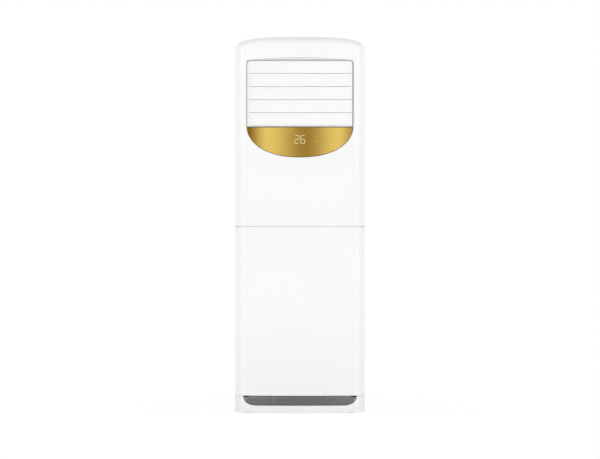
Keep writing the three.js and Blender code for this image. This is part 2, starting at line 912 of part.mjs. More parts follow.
function makeIntakes() {
  const depth = [intakeFrontY + fit, intakeRearY - fit];
  const [z0, z1] = [intakeLow + fit, intakeHigh - fit];
  const [outer, inner] = [sidePanelOuter, filterX + filterThickness + filterGap];
  let grille = box([inner, outer], depth, [z0, z1]).subtract(
    box(
      [inner - slack, outer + slack],
      [depth[0] + grilleRim, depth[1] - grilleRim],
      [z0 + grilleRim, z1 - grilleRim],
    ),
  );
  const pitch = (z1 - z0 - 2 * grilleRim) / slatCount;
  for (let i = 0; i < slatCount; i += 1) {
    const z = z0 + grilleRim + pitch * (i + 0.5);
    const slat = prism(
      [
        [inner + slatInset, z + slatRise],
        [inner + slatInset, z + slatRise - slatThickness],
        [outer - slatInset, z - slatRise],
        [outer - slatInset, z - slatRise + slatThickness],
      ],
      "y",
      depth[0] + grilleRim / 2,
      depth[1] - grilleRim / 2,
    );
    grille = grille.add(slat);
  }

  // Two rails behind the grille hold the filter's long edges.
  const filterLow = intakeLow + filterMargin;
  const filterHigh = intakeHigh - filterMargin;
  const railInner = filterX - filterGap - railLip;
  const makeRail = (edge, direction) => {
    const low = edge + direction * filterGap;
    const high = low + direction * railWeb;
    const lip = edge - direction * railHold;
    const order = (a, b) => [Math.min(a, b), Math.max(a, b)];
    return box([railInner, inner + nick], depth, order(low, high)).add(
      box([railInner, railInner + railLip], depth, order(lip, high)),
    );
  };
  grille = grille.add(makeRail(filterHigh, 1)).add(makeRail(filterLow, -1));
  addPart("right_intake_grille", grille, whiteBlade);
  addPart("left_intake_grille", mirrored(grille), whiteBlade);

  let filter = box(
    [filterX, filterX + filterThickness],
    [filterFrontY, cabinetBackY],
    [filterLow, filterHigh],
  );
  const paneRun = filterHigh - filterLow - 2 * filterFrame + paneGap;
  const paneDepth = [filterFrontY + filterFrame, intakeRearY];
  const recess = (filterThickness - paneSkin) / 2;
  for (let i = 0; i < paneCount; i += 1) {
    const low = filterLow + filterFrame + (paneRun / paneCount) * i;
    const high = low + paneRun / paneCount - paneGap;
    const inside = box([filterX - nick, filterX + recess], paneDepth, [low, high]);
    const outside = box(
      [filterX + filterThickness - recess, filterX + filterThickness + nick],
      paneDepth,
      [low, high],
    );
    filter = filter.subtract(inside).subtract(outside);
  }
  addPart("right_air_filter", filter, darkPlastic);
  addPart("left_air_filter", mirrored(filter), darkPlastic);
}

// ---------------------------------------------------------------- outlet: duct, louvres, vanes

const louvreLow = ductFloorTop + louvreFoot;
const ductCeiling = windowTop - fit - ductWall;
const louvreHigh = ductCeiling - louvreHead;
const bladePitch = (louvreHigh - louvreLow) / bladeCount;
const bladePivotY = louvrePlaneY + bladeSetBack + bladeThickness / 2;
const bladePivotZ = (i) => louvreLow + bladePitch * (i + 0.5);
const ductInnerHalf = windowHalf - fit - ductWall;
const middleBlade = (bladeCount - 1) / 2;
const driveY = bladePivotY + driveOffset;
const driveZ = bladePivotZ(middleBlade);
const vanePitch = (2 * (ductInnerHalf - vaneSide)) / (vaneCount - 1);
const vaneX = (i) => (i - (vaneCount - 1) / 2) * vanePitch;
const pinSides = 6;

// Across the tie bar's room, from the blades to the duct's wall: a blade's crank, the bar and the
// drive crank, which lies outside the bar, so that its pivot doesn't cross it.
const bladeLeft = -ductInnerHalf + bladeLinkRoom;
const bladeRight = ductInnerHalf - bladeEndGap;
const crankLow = bladeLeft - crankThickness;
const barHigh = crankLow - seat;
const barLow = barHigh - barThickness;
const driveCrankHigh = barLow - seat;
const driveCrankLow = driveCrankHigh - crankThickness;

function makeDuct() {
  const floorLow = ductFloorTop - ductWall;
  let duct = prism(windowOutline(fit, floorLow), "y", louvrePlaneY, ductBackY);
  duct = duct.subtract(
    prism(windowOutline(fit + ductWall, ductFloorTop), "y", louvrePlaneY - slack, ductBackY + slack),
  );
  duct = duct.subtract(
    box(
      [-windowHalf - nick, windowHalf + nick],
      [louvrePlaneY - slack, ductFloorFrontY],
      [floorLow - slack, ductFloorTop],
    ),
  );
  const hole = pivotPin + seat;
  for (let i = 0; i < bladeCount; i += 1) {
    duct = duct.subtract(rod("x", hole, -windowHalf, windowHalf, bladePivotY, bladePivotZ(i), pinSides));
  }
  duct = duct.subtract(rod("x", hole, -windowHalf, 0, driveY, driveZ, pinSides));
  for (let i = 0; i < vaneCount; i += 1) {
    duct = duct.subtract(rod("z", hole, floorLow - slack, windowTop, vaneX(i), vanePivotY, pinSides));
  }
  addPart("outlet_duct", duct, darkPlastic);

  // Strip on the duct's front edge that hides the tie bar and the cranks.
  const coverBack = louvrePlaneY - seat;
  const cover = box(
    [-ductInnerHalf - coverLap, bladeLeft - bladeEndGap],
    [coverBack - coverThickness, coverBack],
    [louvreLow, louvreHigh],
  ).intersect(
    prism(windowOutline(fit + ductWall, louvreLow), "y", frontY, coverBack).add(
      box([-windowHalf, -ductInnerHalf], [frontY, coverBack], [louvreLow, windowTop - windowCorner]),
    ),
  );
  addPart("link_cover", cover, whiteBlade);
}

/** Arm with round ends in the (y, z) plane, from a pivot back to its crank pin. */
function crankArm(low, high, y, z) {
  const end = pivotPin + crankEnd;
  return joined([
    rod("x", end, low, high, y, z),
    box([low, high], [y, y + crankLength], [z - end, z + end]),
    rod("x", end, low, high, y + crankLength, z),
  ]);
}

/** Stepper motor with two ears, on a round body bored for its pivot, from low to high. */
function stepper(axis, earSide, low, high, u, v) {
  const ear = [u - motorEarHalf, u + motorEarHalf];
  const span = [v - motorEar, v + motorEar];
  const skin = [earSide - sheet, earSide];
  const ears = axis === "x" ? box(skin, ear, span) : box(span, ear, skin);
  const [across, along] = axis === "x" ? [u, v] : [v, u];
  return rod(axis, motorRound, low, high, across, along, 16)
    .add(ears)
    .subtract(rod(axis, pivotPin + seat, low - nick, high + nick, across, along, pinSides));
}

function makeLouvres() {
  const halfHeight = (bladePitch - bladeGap) / 2;
  const halfThick = bladeThickness / 2;
  const opening = prism(
    windowOutline(fit + ductWall + bladeEndGap, louvreLow),
    "y",
    louvrePlaneY - slack,
    louvrePlaneY + 2 * slack,
  );
  for (let i = 0; i < bladeCount; i += 1) {
    const z = bladePivotZ(i);
    const y = bladePivotY;
    const plate = prism(
      [
        [y - halfThick, z - halfHeight],
        [y - halfThick, z + halfHeight],
        [y - halfThick + bladeFace, z + halfHeight],
        [y + halfThick, z + halfHeight - bladeBevel],
        [y + halfThick, z - halfHeight + bladeBevel],
        [y - halfThick + bladeFace, z - halfHeight],
      ],
      "x",
      bladeLeft,
      bladeRight,
    ).intersect(opening);
    const pivotLeft = -ductInnerHalf - ductWall + bladeEndGap;
    const blade = joined([
      plate,
      crankArm(crankLow, bladeLeft, y, z),
      rod("x", pivotPin, bladeRight - nick, bladeRight + ductWall, y, z, pinSides),
      rod("x", pivotPin, pivotLeft, crankLow + nick, y, z, pinSides),
      rod("x", crankPin, barLow, crankLow + nick, y + crankLength, z, pinSides),
    ]);
    addPart(`louvre_blade_${i + 1}`, blade, whiteBlade);
  }

  // Drive crank: the same arm, turned by the motor outside the duct.
  const motorHigh = -windowHalf - seat;
  const motorLow = motorHigh - motorTall;
  const drivePinY = driveY + crankLength;
  addPart(
    "louvre_crank",
    joined([
      crankArm(driveCrankLow, driveCrankHigh, driveY, driveZ),
      rod("x", pivotPin, motorHigh - motorPin, driveCrankLow + nick, driveY, driveZ, pinSides),
      rod("x", crankPin, driveCrankHigh - nick, barHigh, drivePinY, driveZ, pinSides),
    ]),
    blackPlastic,
  );

  // Tie bar: an upright strip through the blades' crank pins, with a tongue back to the drive.
  const pinY = bladePivotY + crankLength;
  const lastBlade = bladeCount - 1;
  let bar = box(
    [barLow, barHigh],
    [pinY - barHalf, pinY + barHalf],
    [bladePivotZ(0) - barOverhang, bladePivotZ(lastBlade) + barOverhang],
  ).add(box([barLow, barHigh], [pinY, drivePinY + barHalf], [driveZ - barHalf, driveZ + barHalf]));
  const pinHole = crankPin + seat;
  for (let i = 0; i < bladeCount; i += 1) {
    bar = bar.subtract(rod("x", pinHole, barLow - nick, barHigh + nick, pinY, bladePivotZ(i), pinSides));
  }
  bar = bar.subtract(rod("x", pinHole, barLow - nick, barHigh + nick, drivePinY, driveZ, pinSides));
  addPart("louvre_link", bar, blackPlastic);
  addPart("louvre_motor", stepper("x", motorHigh, motorLow, motorHigh, driveY, driveZ), galvanised);
}

function makeVanes() {
  const low = ductFloorTop + vaneFootGap;
  const high = ductCeiling - vaneHeadGap;
  const front = vanePivotY - vaneChord / 2;
  const rear = vanePivotY + vaneChord / 2;
  const linkY = vanePivotY + vaneArm;
  const linkLow = ductFloorTop + vaneFootGap / 2;
  const linkHigh = linkLow + vaneBarHeight;
  const motorTop = ductFloorTop - ductWall - seat;
  const motorLow = motorTop - motorTall;
  const driven = (vaneCount - 1) / 2;
  for (let i = 0; i < vaneCount; i += 1) {
    const plate = prism(
      [
        [front, low + 2 * vaneTrim],
        [front + vaneTrim / 2, low],
        [rear, low],
        [rear, high],
        [front + vaneTrim / 2, high],
        [front, high - 2 * vaneTrim],
      ],
      "x",
      -vaneThickness / 2,
      vaneThickness / 2,
    );
    const foot = i === driven ? motorTop - motorPin : ductFloorTop - ductWall + nick;
    const vane = joined([
      plate,
      rod("z", vaneSpine, low, high, 0, vanePivotY),
      rod("z", pivotPin, foot, low + nick, 0, vanePivotY, pinSides),
      rod("z", pivotPin, high - nick, windowTop - fit - nick, 0, vanePivotY, pinSides),
      rod("z", crankPin, linkLow - seat, low + nick, 0, linkY, pinSides),
    ]);
    addPart(`vane_${i + 1}`, vane, whiteBlade, 0, [vaneX(i), 0, 0]);
  }

  let bar = box(
    [vaneX(0) - 2 * vaneBarHalf, vaneX(vaneCount - 1) + 2 * vaneBarHalf],
    [linkY - vaneBarHalf, linkY + vaneBarHalf],
    [linkLow, linkHigh],
  );
  for (let i = 0; i < vaneCount; i += 1) {
    const [from, to] = [linkLow - nick, linkHigh + nick];
    bar = bar.subtract(rod("z", crankPin + seat, from, to, vaneX(i), linkY, pinSides));
  }
  addPart("vane_link", bar, blackPlastic);
  addPart("vane_motor", stepper("z", motorTop, motorLow, motorTop, vanePivotY, 0), galvanised);
}

const boardHigh = windowBottom - displayDrop;
const moduleFront = crownY(moduleHalf) + wall + 2 * fit;
const boardFront = moduleFront + moduleDepth;
const boardBack = boardFront + boardThickness;
const plugLow = boardHigh - boardHeight + plugHeight;

function makeDisplayBoard() {
  const moduleHigh = boardHigh - displayDrop;
  const board = joined([
    box([-boardHalf, boardHalf], [boardFront, boardBack], [boardHigh - boardHeight, boardHigh]),
    box(
      [-moduleHalf, moduleHalf],
      [moduleFront, boardFront + nick],
      [moduleHigh - moduleHeight, moduleHigh],
    ),
    box([-plugHalf, plugHalf], [boardBack - nick, boardBack + plugDepth], [plugLow, plugLow + plugHeight]),
  ]);
  addPart("display_board", board, circuitGreen);
}

// ---------------------------------------------------------------- coil, pan and deck

const panLow = deckTop + seat;
const plateHalfLength = coilLength / 2 + plateMargin;
const plateHalfDepth = coilDepth / 2 + plateMargin;
const coilCentreY = coilFootY + (coilLength / 2) * Math.sin(coilLean);
const coilCentreZ =
  panLow + sheet + seat + plateHalfLength * Math.cos(coilLean) + plateHalfDepth * Math.sin(coilLean);

function coilPoint(across, depth, along) {
  return [
    across,
    coilCentreY + depth * Math.cos(coilLean) + along * Math.sin(coilLean),
    coilCentreZ - depth * Math.sin(coilLean) + along * Math.cos(coilLean),
  ];
}

function makeCoil() {
  // Fins: a comb outline on both faces, drawn out along the coil's length.
  const fins = Math.round((2 * coilHalf) / finPitch);
  const halfDepth = coilDepth / 2;
  const front = [];
  const rear = [];
  for (let i = 0; i < fins; i += 1) {
    const start = -coilHalf + i * finPitch;
    const end = i + 1 < fins ? start + finPitch - finGap : coilHalf;
    front.push([start, -halfDepth], [end, -halfDepth]);
    rear.push([start, halfDepth], [end, halfDepth]);
    if (i + 1 < fins) {
      const valley = halfDepth - finGrooveDepth;
      front.push([end, -valley], [end + finGap, -valley]);
      rear.push([end, valley], [end + finGap, valley]);
    }
  }
  const place = [0, coilCentreY, coilCentreZ];
  addPart(
    "coil_fins",
    prism([...front, ...rear.reverse()], "z", -coilLength / 2, coilLength / 2),
    aluminium,
    -coilLean,
    place,
  );

  const inner = coilHalf + seat;
  const outer = inner + sheet;
  let plate = box(
    [inner, outer],
    [-plateHalfDepth, plateHalfDepth],
    [-plateHalfLength, plateHalfLength],
  );
  const bendSides = 6;
  const section = ringOutline(0, 0, bendTube, bendSides).map(([u, v]) => new THREE.Vector2(u, v));
  for (let i = 0; i < bendCount; i += 1) {
    const middle = -coilLength / 2 + bendFoot + i * bendPitch;
    const geometry = new THREE.ExtrudeGeometry(new THREE.Shape(section), {
      steps: 4,
      extrudePath: new ReturnBend(outer - bendRoot, middle, bendRadius),
    });
    plate = plate.add(toSolid(geometry));
  }
  addPart("coil_plate_right", plate, galvanised, -coilLean, place);
  addPart("coil_plate_left", mirrored(plate), galvanised, -coilLean, place);

  // The baffle closes the way past the coil, from its upper edge to the back panel.
  const [, plateTopY, plateTopZ] = coilPoint(0, -plateHalfDepth, plateHalfLength);
  const baffleSpan = [-coilHalf - baffleSide, coilHalf + baffleSide];
  const baffleLow = plateTopZ + seat;
  const baffleHigh = baffleLow + sheet;
  const baffleBack = backInnerY - seat;
  const baffle = box(baffleSpan, [plateTopY - baffleLap, baffleBack], [baffleLow, baffleHigh]).add(
    box(baffleSpan, [baffleBack - sheet, baffleBack], [baffleLow - baffleLip, baffleHigh]),
  );
  addPart("coil_baffle", baffle, galvanised);
}

/** Half circle that leaves the plate and comes back, one tube pitch further along. */
class ReturnBend extends THREE.Curve {
  constructor(x, middle, radius) {
    super();
    this.start = new THREE.Vector3(x, 0, middle);
    this.radius = radius;
  }

  getPoint(share, target = new THREE.Vector3()) {
    const turn = share * Math.PI;
    return target.set(
      this.start.x + this.radius * Math.sin(turn),
      0,
      this.start.z - this.radius * Math.cos(turn),
    );
  }
}

const deckLow = deckTop - sheet;
const deckFrontHalf = halfWidth - deckSide;
const liquidRiserX = halfWidth - liquidRiserSide;
const exitY = cabinetBackY + pipeExitRun;
const spoutSides = 10;

function makeDeckAndPan() {
  const mainHalf = sidePanelInner - deckGap;
  const mainFrontY = sheetFrontY + sheet + deckGap;
  const mainBackY = backInnerY - seat;
  const sideBackY = mainBackY - wall;
  const flangeLow = deckTop - deckFlange;
  const panelInner = crownY(catchX + catchHalf) + wall;
  const flange = box([mainHalf - sheet, mainHalf], [mainFrontY, sideBackY], [flangeLow, deckTop]);
  const hook = box(
    [catchX - catchHalf, catchX + catchHalf],
    [panelInner + seat, deckFrontY + nick],
    [lowerHigh - catchDrop, deckTop],
  );
  const deck = joined([
    box([-mainHalf, mainHalf], [mainFrontY, sideBackY], [deckLow, deckTop]),
    box([-deckFrontHalf, deckFrontHalf], [deckFrontY, mainFrontY + nick], [deckLow, deckTop]),
    box([-deckRearTongue, deckRearTongue], [sideBackY - nick, mainBackY], [deckLow, deckTop]),
    flange,
    mirrored(flange),
    hook,
    mirrored(hook),
  ]);
  const neckHole = box(
    [fanX - scrollEnd, fanX + neckRight],
    [scrollFrontY + 2 * wall, scrollBackY - sheet],
    [flangeLow - slack, deckTop + slack],
  );
  const pipeHoleFront = riserY - gasPipe - pipeGap;
  const pipeNotch = box(
    [liquidRiserX - liquidPipe - pipeGap, sidePanelInner - slack],
    [pipeHoleFront, mainBackY + slack],
    [deckLow - nick, deckTop + nick],
  );
  const spoutHole = spoutRadius + fit;
  const drainHole = rod("z", spoutHole, deckLow - nick, deckTop + nick, spoutX, spoutY, spoutSides);
  addPart("mid_deck", deck.subtract(neckHole).subtract(pipeNotch).subtract(drainHole), galvanised);

  const panHalf = coilHalf + panSide;
  const [panFront, panRear] = [deckFrontY + panFrontGap, coilFootY + panRearRun];
  const spoutLow = deckLow - spoutLength;
  const pan = box([-panHalf, panHalf], [panFront, panRear], [panLow, panLow + panWall])
    .subtract(
      box(
        [-panHalf + sheet, panHalf - sheet],
        [panFront + sheet, panRear - sheet],
        [panLow + sheet, panLow + panWall + slack],
      ),
    )
    .add(rod("z", spoutRadius, spoutLow, panLow + nick, spoutX, spoutY, spoutSides))
    .subtract(
      rod("z", spoutBore, spoutLow - nick, panLow + sheet + nick, spoutX, spoutY, spoutSides),
    );
  addPart("drain_pan", pan, greyMoulding);

  // Drain hose: pushed over the spout, it runs down beside the scroll and out with the pipes.
  const hoseTop = deckLow - seat;
  const hoseEnd = spoutLow - spoutRadius;
  const exitZ = pipeExitZ - hoseDrop;
  const route = [
    [spoutX, spoutY, hoseTop],
    [spoutX, spoutY, hoseEnd],
    [spoutX, spoutY, exitZ + 300],
    [spoutX, spoutY + 10, exitZ + 160],
    [spoutX - 6, spoutY + 65, exitZ + 60],
    [spoutX - 18, spoutY + 150, exitZ + 14],
    [pipeExitX + 2, riserY - 22, exitZ + 1],
    [pipeExitX, riserY + gasPipe, exitZ],
  ];
  const hose = pipe(route, hoseRadius, 18, 8)
    .add(rod("y", hoseRadius, riserY + liquidPipe, exitY, pipeExitX, exitZ, spoutSides))
    .subtract(rod("z", spoutRadius + fit, spoutLow - seat, hoseTop + nick, spoutX, spoutY, spoutSides));
  addPart("drain_hose", hose, greyMoulding);
}

function makePipes() {
  const start = coilHalf + seat + sheet + seat;
  const lowX = 6; // the pipes lean this much between riser and exit bend
  const route = (along, depth, riserX, exitX) => {
    const [x, y, z] = coilPoint(start, depth, along);
    return [
      [x, y, z],
      [x + 12, y, z],
      [x + 20, y + 18, z - 10],
      [riserX + 4, riserY - 16, z - 60],
      [riserX, riserY, z - 130],
      [riserX, riserY, boxLow + 40],
      [riserX, riserY, pipeExitZ + 160],
      [riserX - lowX, riserY, pipeExitZ + 62],
      [exitX + 18, riserY, pipeExitZ + 14],
      [exitX + 3, riserY + 4, pipeExitZ + 1],
      [exitX, riserY + 14, pipeExitZ],
    ];
  };
  const steps = 26;
  const top = coilLength / 2;
  const gasX = pipeExitX + pipeSpread;
  const liquidX = pipeExitX - pipeSpread;
  const tail = (x, radius, sides) => rod("y", radius, riserY + 11, exitY, x, pipeExitZ, sides);
  const gasRoute = route(top - gasPlace, pipeDepth, halfWidth - gasRiserSide, gasX);
  const liquidRoute = route(top - liquidPlace, -pipeDepth, liquidRiserX, liquidX);
  addPart("gas_pipe", pipe(gasRoute, gasPipe, steps, 8).add(tail(gasX, gasPipe, 12)), copper);
  addPart("liquid_pipe", pipe(liquidRoute, liquidPipe, steps, 6).add(tail(liquidX, liquidPipe, 10)), copper);

  const front = backInnerY - grommetFront;
  const back = cabinetBackY + grommetBack;
  const hole = (radius, x, z) => rod("y", radius + fit, front - nick, back + nick, x, z, 12);
  const grommet = turned(
    [
      [0, front],
      [pipeHole - fit, front],
      [pipeHole - fit, cabinetBackY + seat],
      [pipeHole + grommetLip, cabinetBackY + seat],
      [pipeHole + grommetLip, back],
      [0, back],
    ],
    pipeExitX,
    pipeExitZ,
    grommetSides,
  )
    .subtract(hole(gasPipe, gasX, pipeExitZ))
    .subtract(hole(liquidPipe, liquidX, pipeExitZ))
    .subtract(hole(hoseRadius, pipeExitX, pipeExitZ - hoseDrop));
  addPart("pipe_grommet", grommet, rubber);
}

// ---------------------------------------------------------------- blower

/** Outline of the scroll: a spiral that opens from the tongue into the straight neck. */
function scrollOutline(skin, top) {
  const sweep = tongueAngle + Math.PI;
  const growth = Math.log(scrollEnd / scrollStart) / sweep;
  const points = [
    [fanX + neckRight + skin, top],
    [fanX + neckRight + skin, fanZ + scrollStart + tongueRise],
  ];
  for (let i = 0; i <= scrollSteps; i += 1) {
    const swept = (i / scrollSteps) * sweep;
    const radius = scrollStart * Math.exp(growth * swept) + skin;
    const angle = tongueAngle - swept;
    points.push([fanX + radius * Math.cos(angle), fanZ + radius * Math.sin(angle)]);
  }
  points.push([fanX - scrollEnd - skin, top]);
  return points;
}

function makeScroll() {
  const eyeSides = 24;
  const neckTop = deckLow - seat;
  const housing = prism(scrollOutline(scrollSkin, neckTop), "y", scrollFrontY, scrollBackY)
    .subtract(prism(scrollOutline(0, neckTop + slack), "y", scrollFrontY - slack, scrollBackY - wall))
    .subtract(rod("y", hubRadius, scrollBackY - slack, scrollBackY + slack, fanX, fanZ, eyeSides));
  addPart("scroll_housing", housing, galvanised);

  // Front plate with the bell mouth that leads the air into the wheel's eye.
  const plateBack = scrollFrontY - seat;
  const plateFront = plateBack - wall;
  const outerEdge = inletRadius + mouthRun;
  const mouth = [];
  for (let i = 0; i <= mouthSteps; i += 1) {
    const bend = (i / mouthSteps) * (Math.PI / 2);
    const depth = plateFront - nick + mouthDepth * (1 - Math.cos(bend));
    mouth.push([outerEdge - mouthRun * Math.sin(bend), depth]);
  }
  const rear = [...mouth].reverse().map(([r, y]) => [r + scrollSkin, y + mouthSkin]);
  const eye = outerEdge - 2 * wall;
  const cover = prism(scrollOutline(scrollSkin, neckTop), "y", plateFront, plateBack)
    .subtract(rod("y", eye, plateFront - slack, plateBack + slack, fanX, fanZ, eyeSides))
    .add(turned([...mouth, ...rear, mouth[0]], fanX, fanZ, eyeSides));
  addPart("scroll_cover", cover, galvanised);
}

/** Section of one forward-curved blade, at the wheel's right side. */
function wheelBladeOutline() {
  const steps = 2;
  const outer = [];
  const inner = [];
  for (let i = 0; i <= steps; i += 1) {
    const share = i / steps;
    const radius = wheelInner + (wheelRadius - wheelDisc - wheelInner) * share;
    const angle = -bladeLead * share * share;
    const [c, s] = [Math.cos(angle), Math.sin(angle)];
    outer.push([radius * c + bladeSkin * s, radius * s - bladeSkin * c]);
    inner.push([radius * c - bladeSkin * s, radius * s + bladeSkin * c]);
  }
  return [...outer, ...inner.reverse()];
}

function makeWheel() {
  const bore = shaftRadius + seat;
  const hubFront = wheelBackY - hubDepth;
  const coneRadius = hubRadius + hubCone;
  const flatRadius = wheelInner - discFlat;
  const disc = turned(
    [
      [bore, hubFront],
      [hubRadius, hubFront],
      [hubRadius, wheelBackY - wheelDish - wheelDisc],
      [coneRadius, wheelBackY - wheelDish - wheelDisc],
      [flatRadius, wheelBackY - wheelDisc],
      [wheelRadius, wheelBackY - wheelDisc],
      [wheelRadius, wheelBackY],
      [flatRadius, wheelBackY],
      [coneRadius, wheelBackY - wheelDish],
      [bore, wheelBackY - wheelDish],
      [bore, hubFront],
    ],
    0,
    0,
    wheelBlades,
  );
  const ringInner = wheelRadius - wheelRing;
  const ringBack = wheelFrontY + wheelRingDepth;
  const frontRing = turned(
    [
      [ringInner, wheelFrontY],
      [wheelRadius, wheelFrontY],
      [wheelRadius, ringBack],
      [ringInner, ringBack],
      [ringInner, wheelFrontY],
    ],
    0,
    0,
    wheelBlades,
  );
  const root = wheelDisc / 2; // the blades end inside the disc and the ring
  const blade = new THREE.ExtrudeGeometry(
    new THREE.Shape(wheelBladeOutline().map(([u, v]) => new THREE.Vector2(u, v))),
    { depth: wheelBackY - wheelFrontY - 2 * root, bevelEnabled: false },
  );
  blade.applyMatrix4(axisFrames.y);
  blade.translate(0, wheelBackY - root, 0);
  const blades = [];
  for (let i = 0; i < wheelBlades; i += 1) {
    const copy = blade.clone();
    copy.rotateY(((i + 0.5) / wheelBlades) * Math.PI * 2);
    blades.push(toSolid(copy));
  }
  addPart("blower_wheel", joined([disc, frontRing, ...blades]), blackPlastic, 0, [fanX, 0, fanZ]);
}

function makeDrive() {
  const motorFront = scrollBackY + 2 * seat + wall;
  const motorBack = motorFront + motorDepth;
  const shaft = [wheelBackY - shaftFrontReach, motorFront + shaftBackReach];
  addPart("motor_shaft", rod("y", shaftRadius, ...shaft, fanX, fanZ, 16), galvanised);

  const bore = shaftRadius + seat;
  const bellBack = motorBack - motorShoulder / 2;
  const motor = turned(
    [
      [bore, motorFront],
      [motorRadius - motorShoulder, motorFront],
      [motorRadius, motorFront + motorShoulder],
      [motorRadius, bellBack - 1.25 * motorShoulder],
      [motorRadius - 1.5 * motorShoulder, bellBack],
      [bearingRadius, bellBack],
      [bearingRadius, motorBack],
      [bore, motorBack],
      [bore, motorFront],
    ],
    fanX,
    fanZ,
    24,
  );
  addPart("fan_motor", motor, galvanised);

  // Three-armed bracket between the scroll's rear plate and the motor.
  const bracketFront = scrollBackY + seat;
  const bracketBack = bracketFront + wall;
  let bracket = rod("y", bracketRadius, bracketFront, bracketBack, fanX, fanZ, 24);
  for (let i = 0; i < armCount; i += 1) {
    const arm = new THREE.BoxGeometry(armWidth, wall, armReach);
    arm.translate(0, (bracketFront + bracketBack) / 2, armReach / 2);
    arm.rotateY((i / armCount) * Math.PI * 2);
    arm.translate(fanX, 0, fanZ);
    bracket = bracket.add(toSolid(arm));
  }
  const [eyeFront, eyeBack] = [bracketFront - nick, bracketBack + nick];
  bracket = bracket.subtract(rod("y", bracketEye, eyeFront, eyeBack, fanX, fanZ, 16));
  addPart("motor_bracket", bracket, galvanised);
}

// ---------------------------------------------------------------- electrical box and leads

function makeElectrics() {
  const high = deckLow - seat;
  const tray = box([-boxHalf, boxHalf], [boxFrontY, boxBackY], [boxLow, high]).subtract(
    box(
      [-boxHalf + sheet, boxHalf - sheet],
      [boxFrontY - slack, boxBackY - sheet],
      [boxLow + sheet, high - sheet],
    ),
  );
  addPart("electrical_box", tray, galvanised);

  const lidHalf = boxHalf + lidMargin;
  const lidLow = boxLow - lidMargin;
  const lidBack = boxFrontY - seat;
  const lidFront = lidBack - sheet;
  let lid = box([-lidHalf, lidHalf], [lidFront, lidBack], [lidLow, high - lidDrop]).add(
    box([-lidHalf, lidHalf], [lidFront, boxFrontY + lidHook], [lidLow, lidLow + sheet]),
  );
  for (let i = 0; i < ventCount; i += 1) {
    const x = -lidHalf + ventSide + i * ventPitch;
    const rise = [boxLow + ventFoot, boxLow + ventFoot + ventHeight];
    lid = lid.subtract(box([x, x + ventWidth], [boxFrontY - slack, boxFrontY], rise));
  }
  addPart("electrical_lid", lid, galvanised);

  const blockHigh = boxLow - seat;
  const blockLow = blockHigh - blockHeight;
  const blockX = boxHalf - blockSide;
  const blockY = boxFrontY + blockFront;
  let terminals = box([blockX, blockX + blockLength], [blockY, blockY + blockDepth], [blockLow, blockHigh]);
  for (let i = 0; i < terminalCount; i += 1) {
    const x = blockX + terminalSide + i * terminalPitch;
    terminals = terminals.subtract(
      box(
        [x, x + terminalWidth],
        [blockY - nick, blockY + terminalCut],
        [blockLow + terminalLow, blockHigh - terminalHigh],
      ),
    );
  }
  addPart("terminal_block", terminals, blackPlastic);

  // The motor's lead leaves the box behind the terminals and runs round the scroll to the motor.
  const motorEdge = fanX + motorRadius + seat;
  const motorMiddle = scrollBackY + wall + motorDepth / 2;
  const besideScroll = fanX + scrollEnd - scrollSide;
  const motorRoute = [
    [boxHalf - 9, boxBackY - 13, boxLow - 2 * seat],
    [boxHalf - 9, boxBackY - 13, boxLow - 8],
    [besideScroll - 16, scrollFrontY - 10, boxLow - 16],
    [besideScroll - 5, scrollFrontY + 35, boxLow - 36],
    [besideScroll - 4, scrollFrontY + 105, boxLow - 80],
    [besideScroll - 30, motorMiddle, boxLow - 160],
    [motorEdge + 45, motorMiddle, fanZ + 22],
    [motorEdge + 12, motorMiddle, fanZ],
    [motorEdge, motorMiddle, fanZ],
  ];
  addPart("motor_lead", pipe(motorRoute, motorLead, 22, 6), blackPlastic);

  // The display's lead drops in front of the pan and the deck and goes into the box over its lid.
  const plugY = boardBack + plugDepth / 2;
  const leadY = deckFrontY - 16;
  const displayRoute = [
    [0, plugY, plugLow - seat],
    [0, plugY, plugLow - 18],
    [leadX / 3, leadY, plugLow - 100],
    [leadX * 0.75, leadY, plugLow - 240],
    [leadX, leadY, deckTop + 20],
    [leadX, leadY + 5, deckTop - 6],
    [leadX, leadY + 18, deckTop - lidDrop / 2 - 2],
    [leadX, boxFrontY + leadTuck, deckTop - lidDrop / 2 - 2],
  ];
  addPart("display_lead", pipe(displayRoute, displayLead, 20, 6), blackPlastic);
}

makeBase();
makePlinthGrille();
makeFrontPanels();
makeCabinet();
makeIntakes();
makeDuct();
makeLouvres();
makeVanes();
makeDisplayBoard();
makeCoil();
makeDeckAndPan();
makePipes();
makeScroll();
makeWheel();
makeDrive();
makeElectrics();

export default unit;
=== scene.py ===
# A floor standing air conditioner: a tall white cabinet with a louvred outlet, a gold display
# panel under it and a dark intake slot in its base. Metres, +Z up, the front faces -Y.

import math

import bmesh
import bpy
from mathutils import Matrix, Vector


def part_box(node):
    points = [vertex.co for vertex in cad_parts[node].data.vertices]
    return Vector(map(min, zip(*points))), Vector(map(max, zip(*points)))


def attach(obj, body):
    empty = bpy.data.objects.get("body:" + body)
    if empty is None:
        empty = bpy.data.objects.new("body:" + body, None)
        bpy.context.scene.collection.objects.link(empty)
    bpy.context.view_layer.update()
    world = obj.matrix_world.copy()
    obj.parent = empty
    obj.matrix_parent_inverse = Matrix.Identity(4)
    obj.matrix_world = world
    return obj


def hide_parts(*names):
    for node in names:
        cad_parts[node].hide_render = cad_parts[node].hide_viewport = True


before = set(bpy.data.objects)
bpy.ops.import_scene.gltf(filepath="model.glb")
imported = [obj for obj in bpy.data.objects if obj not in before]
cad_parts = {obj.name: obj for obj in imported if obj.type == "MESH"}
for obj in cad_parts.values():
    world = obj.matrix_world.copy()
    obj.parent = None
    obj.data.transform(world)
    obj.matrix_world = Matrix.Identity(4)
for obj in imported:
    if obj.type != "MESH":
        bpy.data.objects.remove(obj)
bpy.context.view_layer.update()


# ------------------------------------------------------------------ camera, light and floor
# A pack shot: the camera looks level at the middle of the cabinet from the front, with soft
# light from all round, a little more of it from the front, on a plain white floor.

